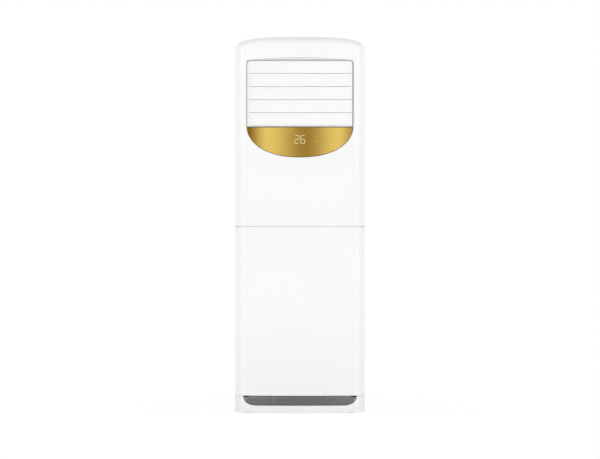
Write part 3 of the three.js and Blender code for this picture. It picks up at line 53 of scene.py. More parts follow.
middle_height = 0.8475
camera_distance = 14
camera_lens = 180

camera_data = bpy.data.cameras.new("camera")
camera_data.lens = camera_lens
camera_data.sensor_width = 36
camera = bpy.data.objects.new("camera", camera_data)
camera.location = (0, -camera_distance, middle_height)
camera.rotation_euler = (math.radians(90), 0, 0)
bpy.context.collection.objects.link(camera)
bpy.context.scene.camera = camera
bpy.context.scene.view_settings.view_transform = "Standard"


def set_sockets(shader, **values):
    """Sets values on a shader node's inputs; an underscore stands for a space in an input's name."""
    for socket, value in values.items():
        shader.inputs[socket.replace("_", " ")].default_value = value
    return shader


def show_camera(tree, plain, shown, share, output):
    """Shows the camera and mirrors a share of a second shader, and lights with the first."""
    ray = tree.nodes.new("ShaderNodeLightPath")
    seen = ray.outputs["Is Camera Ray"]
    for kind in ("Is Glossy Ray", "Is Transmission Ray"):
        add = tree.nodes.new("ShaderNodeMath")
        add.operation = "ADD"
        add.use_clamp = True
        tree.links.new(seen, add.inputs[0])
        tree.links.new(ray.outputs[kind], add.inputs[1])
        seen = add.outputs[0]
    part = tree.nodes.new("ShaderNodeMath")
    part.operation = "MULTIPLY"
    part.inputs[1].default_value = share
    tree.links.new(seen, part.inputs[0])
    mix = tree.nodes.new("ShaderNodeMixShader")
    for source, socket in zip((part, plain, shown), mix.inputs):
        tree.links.new(source.outputs[0], socket)
    tree.links.new(mix.outputs[0], tree.nodes[output].inputs["Surface"])


white = (1, 1, 1, 1)
world = bpy.data.worlds.new("studio")
world.use_nodes = True
bpy.context.scene.world = world
tree = world.node_tree
ambient = set_sockets(tree.nodes["Background"], Color=white, Strength=0.61)
backdrop = set_sockets(tree.nodes.new("ShaderNodeBackground"), Color=white)
show_camera(tree, ambient, backdrop, 1, "World Output")


def softbox(name, place, aim, size, watts):
    """Rectangular lamp that looks at a point."""
    lamp = bpy.data.lights.new(name, "AREA")
    lamp.shape = "RECTANGLE"
    lamp.size, lamp.size_y = size
    lamp.energy = watts
    holder = bpy.data.objects.new(name, lamp)
    holder.location = place
    holder.rotation_euler = (Vector(aim) - Vector(place)).to_track_quat("-Z", "Y").to_euler()
    holder.visible_camera = False
    holder.visible_glossy = False
    bpy.context.collection.objects.link(holder)


cabinet_middle = (0, 0, 0.9)
side_size, end_size = (2.5, 3.0), (3.5, 3.0)
softbox("front", (0, -7.5, 1.3), cabinet_middle, end_size, 176)
softbox("left", (-5.5, -1.0, 1.6), cabinet_middle, side_size, 60)
softbox("right", (5.5, -1.0, 1.6), cabinet_middle, side_size, 60)
softbox("rear", (0, 6.5, 2.2), cabinet_middle, end_size, 70)

floor_half = 5.4
bpy.ops.mesh.primitive_plane_add(size=2 * floor_half, location=(0, 0, 0))
floor = bpy.context.active_object
floor.name = "studio_floor"
floor_paint = bpy.data.materials.new("studio_floor")
floor_paint.use_nodes = True
tree = floor_paint.node_tree
matte = set_sockets(tree.nodes["Principled BSDF"], Base_Color=(0.86, 0.86, 0.86, 1), Roughness=0.9)
glow = set_sockets(tree.nodes.new("ShaderNodeEmission"), Color=white, Strength=1.10)
glow_share = 0.75
show_camera(tree, matte, glow, glow_share, "Material Output")
floor.data.materials.append(floor_paint)


# ------------------------------------------------------------------ upper and lower front panel
# Two glossy white mouldings with 3 mm walls: a bowed front pad with rounded edges, a crease and
# a flare out to the cabinet's full width. The upper one rolls over into the rounded top and has
# the louvre window; the lower one turns on two hinge eyes at its foot.

MM = 0.001
cabinet_low, cabinet_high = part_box("upper_front_panel")
half_width = cabinet_high[0]
cabinet_top = cabinet_high[2]
front_y = cabinet_low[1]
shell_back_y = cabinet_high[1]
shell_wall = 3 * MM
crown_radius = 1487 * MM
crease_inset = 23 * MM
crease_drop = 6 * MM
crease_y = -143 * MM
flare_y = -98 * MM
edge_width = 38 * MM
edge_drop = 34 * MM
arch_height = 69.5 * MM
arch_power = 3.2
arch_foot = cabinet_top - arch_height
arch_steps = 48
mould_round = 0.9 * MM
slack = 12 * MM


def crown_y(x):
    """Depth of the bowed front at a distance from the middle line."""
    return front_y + x * x / (2 * crown_radius)


def arch_place(turn):
    """Share of the half width and of the arch's height at a turn round the rounded top."""
    across = 0.0 if turn > math.pi / 2 - 1e-6 else math.cos(turn) ** (2 / arch_power)
    return across, math.sin(turn) ** (2 / arch_power)


def rounded(before, corner, after, steps):
    """Points of a curve that rounds a corner, from a point before it to a point after it."""
    points = []
    for i in range(steps + 1):
        t = i / steps
        weights = ((1 - t) ** 2, 2 * t * (1 - t), t * t)
        ends = list(zip(weights, (before, corner, after)))
        points.append([sum(weight * point[k] for weight, point in ends) for k in range(3)])
    return points


def shell_row(turn, foot, skin, back_y, edge_steps=9, face_steps=20):
    """Outline of the shell at one height or turn of the arch, from the left rear edge to the right."""
    across, up = arch_place(turn)
    face_x = (half_width - skin - crease_inset - edge_width) * across
    crease = crease_y + skin
    first_bend = math.radians(18)

    def edge(bend):
        """Point of the rounded edge between the crease and the face, at a bend of up to 90 degrees."""
        run = 1 - math.cos(bend)
        depth = crease + (crown_y(face_x) + skin - crease) * math.sin(bend)
        return [crease_inset + edge_width * run, crease_drop + edge_drop * run, depth]

    soft = 0.16
    flare = [0, 0, flare_y + skin / 2]
    crease_point = [crease_inset, crease_drop, crease]
    near = [f + (c - f) * soft for f, c in zip(flare, crease_point)]
    far = [f + (c - f) * (1 - soft) for f, c in zip(flare, crease_point)]
    profile = [[0, 0, back_y]]
    profile += rounded([0, 0, flare[2] + 6 * MM], flare, near, 3)
    profile += rounded(far, crease_point, edge(first_bend), 4)
    for i in range(1, edge_steps + 1):
        profile.append(edge(first_bend + (math.pi / 2 - first_bend) * i / edge_steps))
    half = []
    for inset, drop, y in profile:
        half.append(((half_width - skin - inset) * across, y, foot + (arch_height - skin - drop) * up))
    edge_x, _, edge_z = half[-1]
    for i in range(1, face_steps + 1):
        x = edge_x * (1 - i / face_steps)
        half.append((x, crown_y(x) + skin, edge_z))
    return [(-x, y, z) for x, y, z in half[:-1]] + half[::-1]


def mesh_piece(name, points, faces):
    """New object from points and faces, with its doubles merged and its faces turned outwards."""
    mesh = bpy.data.meshes.new(name)
    mesh.from_pydata(points, [], faces)
    build = bmesh.new()
    build.from_mesh(mesh)
    bmesh.ops.remove_doubles(build, verts=build.verts, dist=1e-6)
    bmesh.ops.dissolve_degenerate(build, edges=build.edges, dist=1e-7)
    bmesh.ops.recalc_face_normals(build, faces=build.faces)
    build.to_mesh(mesh)
    build.free()
    piece = bpy.data.objects.new(name, mesh)
    bpy.context.collection.objects.link(piece)
    return piece


def shell_body(name, skin, low, back_y, high=None):
    """Closed body behind the shell's surface: up to a level cut, or up to the rounded top."""
    rows = [shell_row(0, low, skin, back_y)]
    if high is None:
        turns = [math.pi / 2 * i / arch_steps for i in range(arch_steps + 1)]
        rows += [shell_row(turn, arch_foot, skin, back_y) for turn in turns]
    else:
        rows.append(shell_row(0, high, skin, back_y))
    width = len(rows[0])
    points = [point for row in rows for point in row]
    faces = []
    for k in range(len(rows) - 1):
        for i in range(width - 1):
            a = k * width + i
            faces.append((a, a + 1, a + 1 + width, a + width))
        a = k * width
        faces.append((a + width - 1, a, a + width, a + 2 * width - 1))
    faces.append(tuple(range(width))[::-1])
    if high is not None:
        faces.append(tuple(range((len(rows) - 1) * width, len(rows) * width)))
    return mesh_piece(name, points, faces)


def select_only(piece):
    """Selects one piece, because an operator acts on all that is selected."""
    bpy.ops.object.select_all(action="DESELECT")
    piece.select_set(True)
    bpy.context.view_layer.objects.active = piece


def apply_modifiers(piece):
    """Applies a piece's modifiers in their order."""
    select_only(piece)
    for modifier in list(piece.modifiers):
        bpy.ops.object.modifier_apply(modifier=modifier.name)


def combine(piece, tool, operation="DIFFERENCE"):
    """Cuts, joins or intersects a piece with a tool body, and removes the tool."""
    modifier = piece.modifiers.new("combine", "BOOLEAN")
    modifier.operation = operation
    modifier.solver = "EXACT"
    modifier.object = tool
    apply_modifiers(piece)
    bpy.data.objects.remove(tool)
    return piece


def outward(piece):
    """Merges a new piece's doubles and turns its faces outwards."""
    select_only(piece)
    bpy.ops.object.mode_set(mode="EDIT")
    bpy.ops.mesh.select_all(action="SELECT")
    bpy.ops.mesh.remove_doubles(threshold=1e-6)
    bpy.ops.mesh.normals_make_consistent(inside=False)
    bpy.ops.object.mode_set(mode="OBJECT")
    return piece


def prism(name, outline, axis, low, high):
    """Draws an outline in (y, z) for x, (x, z) for y or (x, y) for z, and extrudes it along the axis."""
    place = {
        "x": lambda u, v, w: (w, u, v),
        "y": lambda u, v, w: (u, w, v),
        "z": lambda u, v, w: (u, v, w),
    }[axis]
    bpy.ops.object.select_all(action="DESELECT")
    bpy.ops.mesh.primitive_circle_add(vertices=len(outline), fill_type="NGON")
    piece = bpy.context.active_object
    piece.name = name
    for corner, (u, v) in zip(piece.data.vertices, outline):
        corner.co = place(u, v, low)
    bpy.ops.object.mode_set(mode="EDIT")
    bpy.ops.mesh.select_all(action="SELECT")
    bpy.ops.mesh.extrude_region_move(TRANSFORM_OT_translate={"value": place(0, 0, high - low)})
    bpy.ops.object.mode_set(mode="OBJECT")
    return outward(piece)


def block(name, low, high):
    """Starts a piece as a box between two corners."""
    bpy.ops.object.select_all(action="DESELECT")
    bpy.ops.mesh.primitive_cube_add(size=1, location=[(a + b) / 2 for a, b in zip(low, high)])
    piece = bpy.context.active_object
    piece.name = name
    piece.scale = [b - a for a, b in zip(low, high)]
    bpy.ops.object.transform_apply(location=True, rotation=True, scale=True)
    return piece


def rod(name, axis, radius, low, high, u, v, sides=32):
    """Starts a piece as a round bar along an axis, centred at (u, v) in the plane across it."""
    middle = (low + high) / 2
    location, turn = {
        "x": ((middle, u, v), (0, math.pi / 2, 0)),
        "y": ((u, middle, v), (math.pi / 2, 0, 0)),
        "z": ((u, v, middle), (0, 0, 0)),
    }[axis]
    bpy.ops.object.select_all(action="DESELECT")
    bpy.ops.mesh.primitive_cylinder_add(
        vertices=sides, radius=radius, depth=high - low, location=location, rotation=turn
    )
    piece = bpy.context.active_object
    piece.name = name
    bpy.ops.object.transform_apply(location=True, rotation=True, scale=True)
    return piece


def shade_smooth(piece, angle):
    """Shades a piece smooth, but for the edges that turn by more than an angle."""
    select_only(piece)
    bpy.ops.object.shade_smooth_by_angle(angle=math.radians(angle))


def soften(piece, width, segments=2, angle=32, shade=35):
    """Rounds the sharp edges a little, as a mould or a press does, and shades the piece smooth."""
    modifier = piece.modifiers.new("soften", "BEVEL")
    modifier.width = width
    modifier.segments = segments
    modifier.limit_method = "ANGLE"
    modifier.angle_limit = math.radians(angle)
    modifier.use_clamp_overlap = True
    apply_modifiers(piece)
    shade_smooth(piece, shade)
    return piece


def surface(
    name, color, roughness, metallic=0.0, grain=400.0, bump=0.04, mottle=0.02, slot=None, **sockets
):
    """Procedural finish: its colour varies a little, with a fine grain in the gloss. Its slot argument
    is not used.
    """
    paint = bpy.data.materials.new(name)
    paint.use_nodes = True
    nodes, links = paint.node_tree.nodes, paint.node_tree.links
    shader = nodes["Principled BSDF"]
    set_sockets(shader, Roughness=roughness, Metallic=metallic, **sockets)
    where = nodes.new("ShaderNodeTexCoord")
    broad = set_sockets(nodes.new("ShaderNodeTexNoise"), Scale=3.5, Detail=3)
    links.new(where.outputs["Object"], broad.inputs["Vector"])
    ramp = nodes.new("ShaderNodeValToRGB")
    stops = ramp.color_ramp.elements
    for stop, position, gain in ((stops[0], 0.3, 1 - mottle), (stops[1], 0.7, 1 + mottle)):
        stop.position = position
        stop.color = (*[min(1, c * gain) for c in color], 1)
    links.new(broad.outputs["Fac"], ramp.inputs["Fac"])
    links.new(ramp.outputs["Color"], shader.inputs["Base Color"])
    fine = set_sockets(nodes.new("ShaderNodeTexNoise"), Scale=grain, Detail=2)
    links.new(where.outputs["Object"], fine.inputs["Vector"])
    relief = set_sockets(nodes.new("ShaderNodeBump"), Strength=bump, Distance=0.0004)
    links.new(fine.outputs["Fac"], relief.inputs["Height"])
    links.new(relief.outputs["Normal"], shader.inputs["Normal"])
    return paint


def mount(piece, paint, *nodes, body="cabinet", slot=None):
    """Gives a finished piece its material, body and the CAD nodes that it stands for. Its slot argument
    is not used.
    """
    piece.data.materials.clear()
    piece.data.materials.append(paint)
    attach(piece, body)
    if nodes:
        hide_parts(*nodes)


shell_white = (0.925, 0.926, 0.928)
white_shell = surface("white_shell", shell_white, 0.34, bump=0.03, mottle=0.006, Coat_Weight=0.25)

upper_low = cabinet_low[2]
upper_panel = shell_body("upper_front_shell", 0, upper_low, shell_back_y)
combine(upper_panel, shell_body("room", shell_wall, upper_low - slack, shell_back_y + slack))

window_half = 247.5 * MM
window_bottom = 1325 * MM
window_top = 1629.8 * MM
window_corner = 20 * MM
louvre_plane_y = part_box("outlet_duct")[0][1]
crescent_rise = 12.3 * MM
display_half = 246.8 * MM
display_centre = 1332 * MM
display_height = 152 * MM
display_power = 2.2
display_steps = 96


def arc(u, v, radius, start, sweep, steps):
    """Points of a round arc about (u, v), from a start angle over a sweep, both in degrees."""
    turns = [math.radians(start + sweep * i / steps) for i in range(steps + 1)]
    return [(u + radius * math.cos(turn), v + radius * math.sin(turn)) for turn in turns]


def window_outline(inset, floor_z, corner_steps=12):
    """Outline of the louvre window, shrunk by an inset, down to a chosen height."""
    half = window_half - inset
    top = window_top - inset
    corner = window_corner - inset
    points = [(-half, floor_z), (half, floor_z)]
    for centre_x, start in ((half - corner, 0), (-half + corner, 90)):
        points += arc(centre_x, top - corner, corner, start, 90, corner_steps)
    return points


def display_outline(inset, top):
    """Half oval of the display panel, shrunk by an inset, with a straight top edge."""
    points = []
    for i in range(display_steps + 1):
        turn = math.pi * i / display_steps
        across = math.copysign(abs(math.cos(turn)) ** (2 / display_power), -math.cos(turn))
        down = math.sin(turn) ** (2 / display_power)
        z = display_centre - (display_height - inset) * down
        if z < top:
            points.append(((display_half - inset) * across, z))
    return [(points[0][0], top), *points, (points[-1][0], top)]


def through_front(name, outline):
    """Prism from an outline in (x, z) that passes through the whole front shell."""
    return prism(name, outline, "y", front_y - slack, shell_back_y)


# The window has a return wall, and a sloped cut over it where the bowed front meets the flat
# plane of the louvres: from the front that cut is a thin crescent.
return_y = louvre_plane_y - 0.2 * MM
surround = prism("surround", window_outline(-shell_wall, window_bottom), "y", front_y - slack, return_y)
brow_half = window_half - window_corner
brow_low = (-brow_half, front_y - slack, window_top)
brow_high = (brow_half, return_y, window_top + crescent_rise + shell_wall)
combine(surround, block("brow", brow_low, brow_high), "UNION")
combine(surround, shell_body("outer", 0, upper_low, shell_back_y), "INTERSECT")
combine(upper_panel, surround, "UNION")
combine(upper_panel, through_front("window", window_outline(0, window_bottom - MM)))
reach = louvre_plane_y - front_y + slack
slope = crescent_rise / (louvre_plane_y - front_y)
crescent = [
    (louvre_plane_y, window_top - MM),
    (louvre_plane_y, window_top),
    (louvre_plane_y - reach, window_top + slope * reach),
    (louvre_plane_y - reach, window_top - MM),
]
combine(upper_panel, prism("crescent", crescent, "x", -brow_half, brow_half))
# A thin greyer skin lies on the sloped cut. Its colour is painted shade, darkening the crescent as the
# shade under the bowed front would.
brow_skin = 0.6 * MM
slope_top = window_top + slope * reach
brow_section = [
    (louvre_plane_y, window_top - brow_skin),
    (louvre_plane_y, window_top + brow_skin),
    (louvre_plane_y - reach, slope_top + brow_skin),
    (louvre_plane_y - reach, slope_top - brow_skin),
]
brow = prism("window_brow_shade", brow_section, "x", -brow_half - MM, brow_half + MM)
combine(brow, shell_body("cut", 0.1 * MM, upper_low, shell_back_y), "INTERSECT")
brow_painted_shade = surface("brow_painted_shade", (0.80, 0.801, 0.804), 0.45, bump=0.03, slot="white_shell")
mount(brow, brow_painted_shade)
display_hole = display_outline(-0.5 * MM, window_bottom)
combine(upper_panel, through_front("display_hole", display_hole))
soften(upper_panel, mould_round)
# The rounded edges are kept behind the foremost line of the bowed front.
for corner in upper_panel.data.vertices:
    corner.co.y = max(corner.co.y, front_y)
mount(upper_panel, white_shell, "upper_front_panel")

lower_low, lower_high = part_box("lower_front_panel")
seam_close = 1.3 * MM
lower_top = lower_high[2] + seam_close
lower_panel = shell_body("lower_front_shell", 0, lower_low[2], shell_back_y, lower_top)
room_low, room_high = lower_low[2] - slack, lower_top + slack
combine(lower_panel, shell_body("room", shell_wall, room_low, shell_back_y + slack, room_high))

hinge_x = 118 * MM
hinge_y = -166 * MM
hinge_z = 92 * MM
hinge_eye = 7 * MM
hinge_bore = 3.8 * MM
lug_half = 5.5 * MM
for side in (-1, 1):
    near_x, far_x = side * hinge_x - lug_half, side * hinge_x + lug_half
    lug = rod("hinge_lug", "x", hinge_eye, near_x, far_x, hinge_y, hinge_z)
    web_low = (near_x, crown_y(hinge_x) + shell_wall / 2, hinge_z - hinge_eye)
    combine(lug, block("web", web_low, (far_x, hinge_y, hinge_z + hinge_eye)), "UNION")
    combine(lug, rod("bore", "x", hinge_bore, near_x - MM, far_x + MM, hinge_y, hinge_z))
    combine(lower_panel, lug, "UNION")

# The rear top corners are cut back so that the panel can tip forward under the upper one.
relief_run = 44 * MM
relief_drop = 3 * MM + seam_close
relief = [
    (shell_back_y - relief_run, lower_top),
    (shell_back_y, lower_top - relief_drop),
    (shell_back_y + slack, lower_top - relief_drop),
    (shell_back_y + slack, lower_top + slack),
    (shell_back_y - relief_run, lower_top + slack),
]
combine(lower_panel, prism("relief", relief, "x", -half_width - slack, half_width + slack))
soften(lower_panel, mould_round)
mount(lower_panel, white_shell, "lower_front_panel", body="service_panel")


def sided(side, near, far):
    """Low and high x between two distances from the middle, on the left (-1) or the right (1)."""
    return sorted((side * near, side * far))


# A white lip on the upper panel stands behind the seam. It leaves room for the deck's two hooks.
lip_gap, lip_skin = 0.7 * MM, 1.8 * MM
lip_low, lip_high = lower_top - 10 * MM, upper_low + 6 * MM
lip = shell_body("seam_lip", shell_wall + lip_gap, lip_low, crease_y, lip_high)
lip_room = shell_wall + lip_gap + lip_skin
combine(lip, shell_body("room", lip_room, lip_low - slack, crease_y + slack, lip_high + slack))
hook_low, hook_high = 103 * MM, 137 * MM
for side in (-1, 1):
    near_x, far_x = sided(side, hook_low, hook_high)
    hook_room = ((near_x, front_y, lip_low - MM), (far_x, crease_y, lip_high + MM))
    combine(lip, block("hook_room", *hook_room))
soften(lip, 0.3 * MM, 1)
mount(lip, white_shell)


# ------------------------------------------------------------------ outlet duct and its dark rim
# The duct behind the window is one satin grey moulding with 5 mm walls, held to the shell from
# behind. Its front edge is the dark line round the window, finished with a slim rounded rim.


def refined(node, width, segments, shade=38):
    """The CAD solid as a finished piece: its flats made whole, its edges eased, its rounds smooth."""
    piece = bpy.data.objects.new(node + "_made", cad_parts[node].data.copy())
    bpy.context.collection.objects.link(piece)
    select_only(piece)
    bpy.ops.mesh.customdata_custom_splitnormals_clear()
    bpy.ops.object.mode_set(mode="EDIT")
    bpy.ops.mesh.select_all(action="SELECT")
    bpy.ops.mesh.remove_doubles(threshold=1e-6)
    bpy.ops.mesh.dissolve_limited(angle_limit=math.radians(0.5))
    bpy.ops.object.mode_set(mode="OBJECT")
    soften(piece, width, segments, shade=shade)
    evener = piece.modifiers.new("even_flats", "WEIGHTED_NORMAL")
    evener.keep_sharp = True
    apply_modifiers(piece)
    return piece


def fit(node, width, segments, paint, body="cabinet"):
    """Finishes a CAD solid as it is and mounts it in its own place."""
    mount(refined(node, width, segments), paint, node, body=body)


dark_plastic = surface("dark_plastic", (0.36, 0.365, 0.37), 0.42, grain=700, bump=0.12)
fit("outlet_duct", 0.6 * MM, 2, dark_plastic)

rim_width = 4.2 * MM
rim_foot = window_bottom - 2.3 * MM
rim_front = louvre_plane_y - 1.9 * MM
rim_back = louvre_plane_y - 0.15 * MM
rim_gap = 0.4 * MM
rim = prism("louvre_rim", window_outline(rim_gap, rim_foot), "y", rim_front, rim_back)
rim_room = window_outline(rim_gap + rim_width, window_bottom - slack)
combine(rim, prism("rim_room", rim_room, "y", rim_front - MM, rim_back + MM))
soften(rim, 0.7 * MM, 3)
mount(rim, dark_plastic)


# ------------------------------------------------------------------ louvre blades
# Five flat white mouldings, closed edge to edge: each has rounded front edges, bevelled rear
# edges, two stiffening ribs and end caps. Pins at both ends turn in the duct, and a crank at the
# left end carries the tie bar's pin.

white_plastic = surface(
    "white_plastic", (0.925, 0.926, 0.927), 0.36, grain=500, bump=0.03, mottle=0.005
)
blade_left, blade_right = -234.1 * MM, 241.5 * MM
blade_front, blade_back = -163.0 * MM, -158.0 * MM
blade_pivot_y = -160.5 * MM
blade_half = 29.5 * MM
front_round, rear_bevel = 1 * MM, 3.4 * MM
rib_place, rib_half, rib_rise = 13 * MM, 1.1 * MM, 1.4 * MM
cap_half = 29.62 * MM
cap_run, cap_inset, cap_rise = 6 * MM, 0.25 * MM, 0.4 * MM


def bevel_edges(piece, test, offset, segments):
    """Bevels the edges whose middle and direction pass a test."""
    select_only(piece)
    bpy.ops.object.mode_set(mode="EDIT")
    bpy.ops.mesh.select_mode(type="EDGE")
    bpy.ops.mesh.select_all(action="DESELECT")
    bpy.ops.object.mode_set(mode="OBJECT")
    points = piece.data.vertices
    for edge in piece.data.edges:
        a, b = (points[i].co for i in edge.vertices)
        edge.select = test((a + b) / 2, (b - a).normalized())
    bpy.ops.object.mode_set(mode="EDIT")
    bpy.ops.mesh.bevel(offset=offset, segments=segments, affect="EDGES", clamp_overlap=True)
    bpy.ops.mesh.select_mode(type="FACE")
    bpy.ops.object.mode_set(mode="OBJECT")
    return piece


def copied(piece, name, shift):
    """Copy of a piece with its own mesh, moved by a shift."""
    twin = piece.copy()
    twin.data = piece.data.copy()
    twin.name = name
    twin.data.transform(Matrix.Translation(shift))
    bpy.context.collection.objects.link(twin)
    return twin


plate_low = (blade_left, blade_front, -blade_half)
plate = block("louvre_plate", plate_low, (blade_right, blade_back, blade_half))
bevel_edges(plate, lambda at, way: at.y < blade_front + MM and abs(way.x) > 0.9, front_round, 4)
bevel_edges(plate, lambda at, way: at.y > blade_back - MM and abs(way.x) > 0.9, rear_bevel, 3)
for rib_z in (-rib_place, rib_place):
    rib_low = (blade_left + cap_run, blade_back - MM, rib_z - rib_half)
    rib_high = (blade_right - cap_run, blade_back + rib_rise, rib_z + rib_half)
    combine(plate, block("rib", rib_low, rib_high), "UNION")
for near_x, far_x in ((blade_left, blade_left + cap_run), (blade_right - cap_run, blade_right)):
    cap_low = (near_x, blade_front + cap_inset, -cap_half)
    combine(plate, block("cap", cap_low, (far_x, blade_back + cap_rise, cap_half)), "UNION")

crank_length = 18 * MM
crank_half = 2.9 * MM
crank_left = -236.1 * MM
crank_end = blade_pivot_y + crank_length
crank_outline = arc(blade_pivot_y, 0, crank_half, 90, 180, 14)
crank_outline += arc(crank_end, 0, crank_half, -90, 180, 14)
fittings = prism("louvre_fittings", crank_outline, "x", crank_left, blade_left + 0.6 * MM)
duct_pin, crank_pin = 2 * MM, 1.7 * MM
bar_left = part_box("louvre_link")[0][0]
pin = rod("pin", "x", crank_pin, bar_left, crank_left + 0.6 * MM, crank_end, 0)
combine(fittings, pin, "UNION")
left_reach, right_reach = 12.4 * MM, 5 * MM
pin = rod("pin", "x", duct_pin, blade_left - left_reach, blade_left + MM, blade_pivot_y, 0)
combine(fittings, pin, "UNION")
pin = rod("pin", "x", duct_pin, blade_right - MM, blade_right + right_reach, blade_pivot_y, 0)
combine(plate, pin, "UNION")

for number in range(1, 6):
    node = f"louvre_blade_{number}"
    low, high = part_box(node)
    shift = (0, 0, (low[2] + high[2]) / 2)
    blade = copied(plate, node + "_made", shift)
    if number == 5:
        # The top blade follows the window's rounded corners.
        corners = window_outline(rim_width - 1.2 * MM, window_bottom - slack)
        wide = prism("corners", corners, "y", blade_front - slack, blade_back + slack)
        pin_room = 15 * MM
        for near_x, far_x in ((blade_left - slack, blade_left), (blade_right, blade_right + slack)):
            past_low = (near_x, blade_front - slack, shift[2] - pin_room)
            past_high = (far_x, blade_back + slack, shift[2] + pin_room)
            combine(wide, block("past", past_low, past_high), "UNION")
        combine(blade, wide, "INTERSECT")
    combine(blade, copied(fittings, "fittings", shift), "UNION")
    soften(blade, 0.25 * MM, 1)
    mount(blade, white_plastic, node, body=f"louvre_{number}")
for spare in (plate, fittings):
    bpy.data.objects.remove(spare)


# ------------------------------------------------------------------ louvre drive
# A white strip hides the black tie bar that joins the blades' five cranks. Outside the duct a small
# stepper motor in a steel can drives the middle blade through a crank of its own.

black_plastic = surface("black_plastic", (0.045, 0.047, 0.05), 0.45, grain=600, bump=0.10)


def spangled(name, color, roughness):
    """Zinc-coated sheet: a bare metal whose crystals are each a little lighter or darker."""
    paint = surface(name, color, roughness, 1.0, grain=900, bump=0.05, mottle=0.03)
    nodes, links = paint.node_tree.nodes, paint.node_tree.links
    crystals = set_sockets(nodes.new("ShaderNodeTexVoronoi"), Scale=70)
    where = nodes["Texture Coordinate"]
    links.new(where.outputs["Object"], crystals.inputs["Vector"])
    shades = nodes.new("ShaderNodeValToRGB")
    for stop, gain in zip(shades.color_ramp.elements, (0.86, 1.12)):
        stop.color = (*[min(1, c * gain) for c in color], 1)
    links.new(crystals.outputs["Color"], shades.inputs["Fac"])
    blend = nodes.new("ShaderNodeMix")
    blend.data_type = "RGBA"
    blend.inputs[0].default_value = 0.6
    links.new(nodes["Color Ramp"].outputs["Color"], blend.inputs[6])
    links.new(shades.outputs["Color"], blend.inputs[7])
    links.new(blend.outputs[2], nodes["Principled BSDF"].inputs["Base Color"])
    return paint


galvanised = spangled("galvanised_steel", (0.60, 0.62, 0.63), 0.42)
fit("link_cover", 0.3 * MM, 2, white_plastic)
fit("louvre_link", 0.3 * MM, 1, black_plastic, body="louvre_bar")
fit("louvre_crank", 0.3 * MM, 1, black_plastic, body="louvre_drive")
fit("louvre_motor", 0.8 * MM, 2, galvanised)


# ------------------------------------------------------------------ upright vanes
# Seven white moulded vanes on spines steer the air to the left and right behind the louvres. A tie
# bar along their feet couples them, and the middle one sits on its own stepper motor.

for number in range(1, 8):
    node = f"vane_{number}"
    fit(node, 0.5 * MM, 2, white_plastic, body=f"upright_vane_{number}")
fit("vane_link", 0.3 * MM, 1, black_plastic, body="vane_bar")
fit("vane_motor", 0.8 * MM, 2, galvanised)


# ------------------------------------------------------------------ gold display panel
# A half-oval moulding under the louvres, bowed like the front and metallised to a satin gold under a
# clear coat. A painted reflection across it gives bright bands and a darker middle and ends. A
# near-black bar closes its top edge and also paints the shadow gap under the louvres, and a bronze bead
# runs round its curve. It is set into the shell from behind.

reflection_highlight_gold = (0.78, 0.55, 0.13, 1)
deep_gold = (0.335, 0.20, 0.028, 1)
bronze = (0.225, 0.102, 0.001, 1)
amber = (0.46, 0.28, 0.07, 1)
display_top = 1317.8 * MM
bar_high = 1322.4 * MM
skin_depth = 0.35 * MM
bead_width = 2.4 * MM

gold_panel = surface(
    "gold_panel", deep_gold[:3], 0.24, 1.0, grain=1200, bump=0.01, Coat_Weight=0.15
)
tree = gold_panel.node_tree
# The panel's colour across its width is painted reflection: bright gold bands where its bowed face would
# mirror the studio, deep gold in the middle, bronze and amber at its ends.
split = tree.nodes.new("ShaderNodeSeparateXYZ")
tree.links.new(tree.nodes["Texture Coordinate"].outputs["Object"], split.inputs["Vector"])
across = tree.nodes.new("ShaderNodeMapRange")
set_sockets(across, From_Min=-display_half, From_Max=display_half)
tree.links.new(split.outputs["X"], across.inputs["Value"])
painted_reflection = tree.nodes.new("ShaderNodeValToRGB")
painted_reflection.color_ramp.interpolation = "EASE"
painted_reflection_stops = painted_reflection.color_ramp.elements
painted_reflection_stops[0].color = bronze
painted_reflection_stops[1].color = amber
for x, tone in ((-150 * MM, reflection_highlight_gold), (26 * MM, deep_gold), (178 * MM, reflection_highlight_gold)):
    painted_reflection_stops.new((x + display_half) / (2 * display_half)).color = tone
tree.links.new(across.outputs["Result"], painted_reflection.inputs["Fac"])
tree.links.new(painted_reflection.outputs["Color"], tree.nodes["Principled BSDF"].inputs["Base Color"])
gold_bronze = surface(
    "gold_bronze", (0.20, 0.115, 0.03), 0.3, 1.0, grain=900, bump=0.02, slot="gold_panel"
)
# Near-black for the display's top trim, dark enough to paint the shadow gap there as well.
trim_and_gap_shadow_black = surface(
    "trim_and_gap_shadow_black", (0.11, 0.108, 0.10), 0.35, grain=600, bump=0.05, slot="black_plastic"
)


def bowed_plate(name, outline, skin):
    """Plate with the bowed front's shape, a skin under its surface and as thick as the shell."""
    plate = through_front(name, outline)
    combine(plate, shell_body("front", skin, upper_low, shell_back_y), "INTERSECT")
    back_skin = skin + shell_wall
    return combine(plate, shell_body("back", back_skin, upper_low - slack, shell_back_y + slack))


gold_edge = display_outline(bead_width, display_top)
gold = bowed_plate("gold_display", gold_edge, skin_depth)
soften(gold, 0.35 * MM, 2)
mount(gold, gold_panel, "display_panel")

bead = bowed_plate("display_bead", display_outline(0, display_top), 0.05 * MM)
bead_room = display_outline(bead_width, display_top + MM)
combine(bead, through_front("bead_room", bead_room))
soften(bead, 0.5 * MM, 3)
mount(bead, gold_bronze)


def rectangle(half, low, high):
    """Outline in (x, z), symmetrical about the middle."""
    return [(-half, low), (half, low), (half, high), (-half, high)]


# The bar is a real trim, and its near-black colour also paints the shadow gap between the lowest louvre
# and the gold.
bar_outline = rectangle(display_half, display_top + 0.2 * MM, bar_high)
bar = bowed_plate("display_bar", bar_outline, 0.02 * MM)
soften(bar, 0.6 * MM, 3)
mount(bar, trim_and_gap_shadow_black)

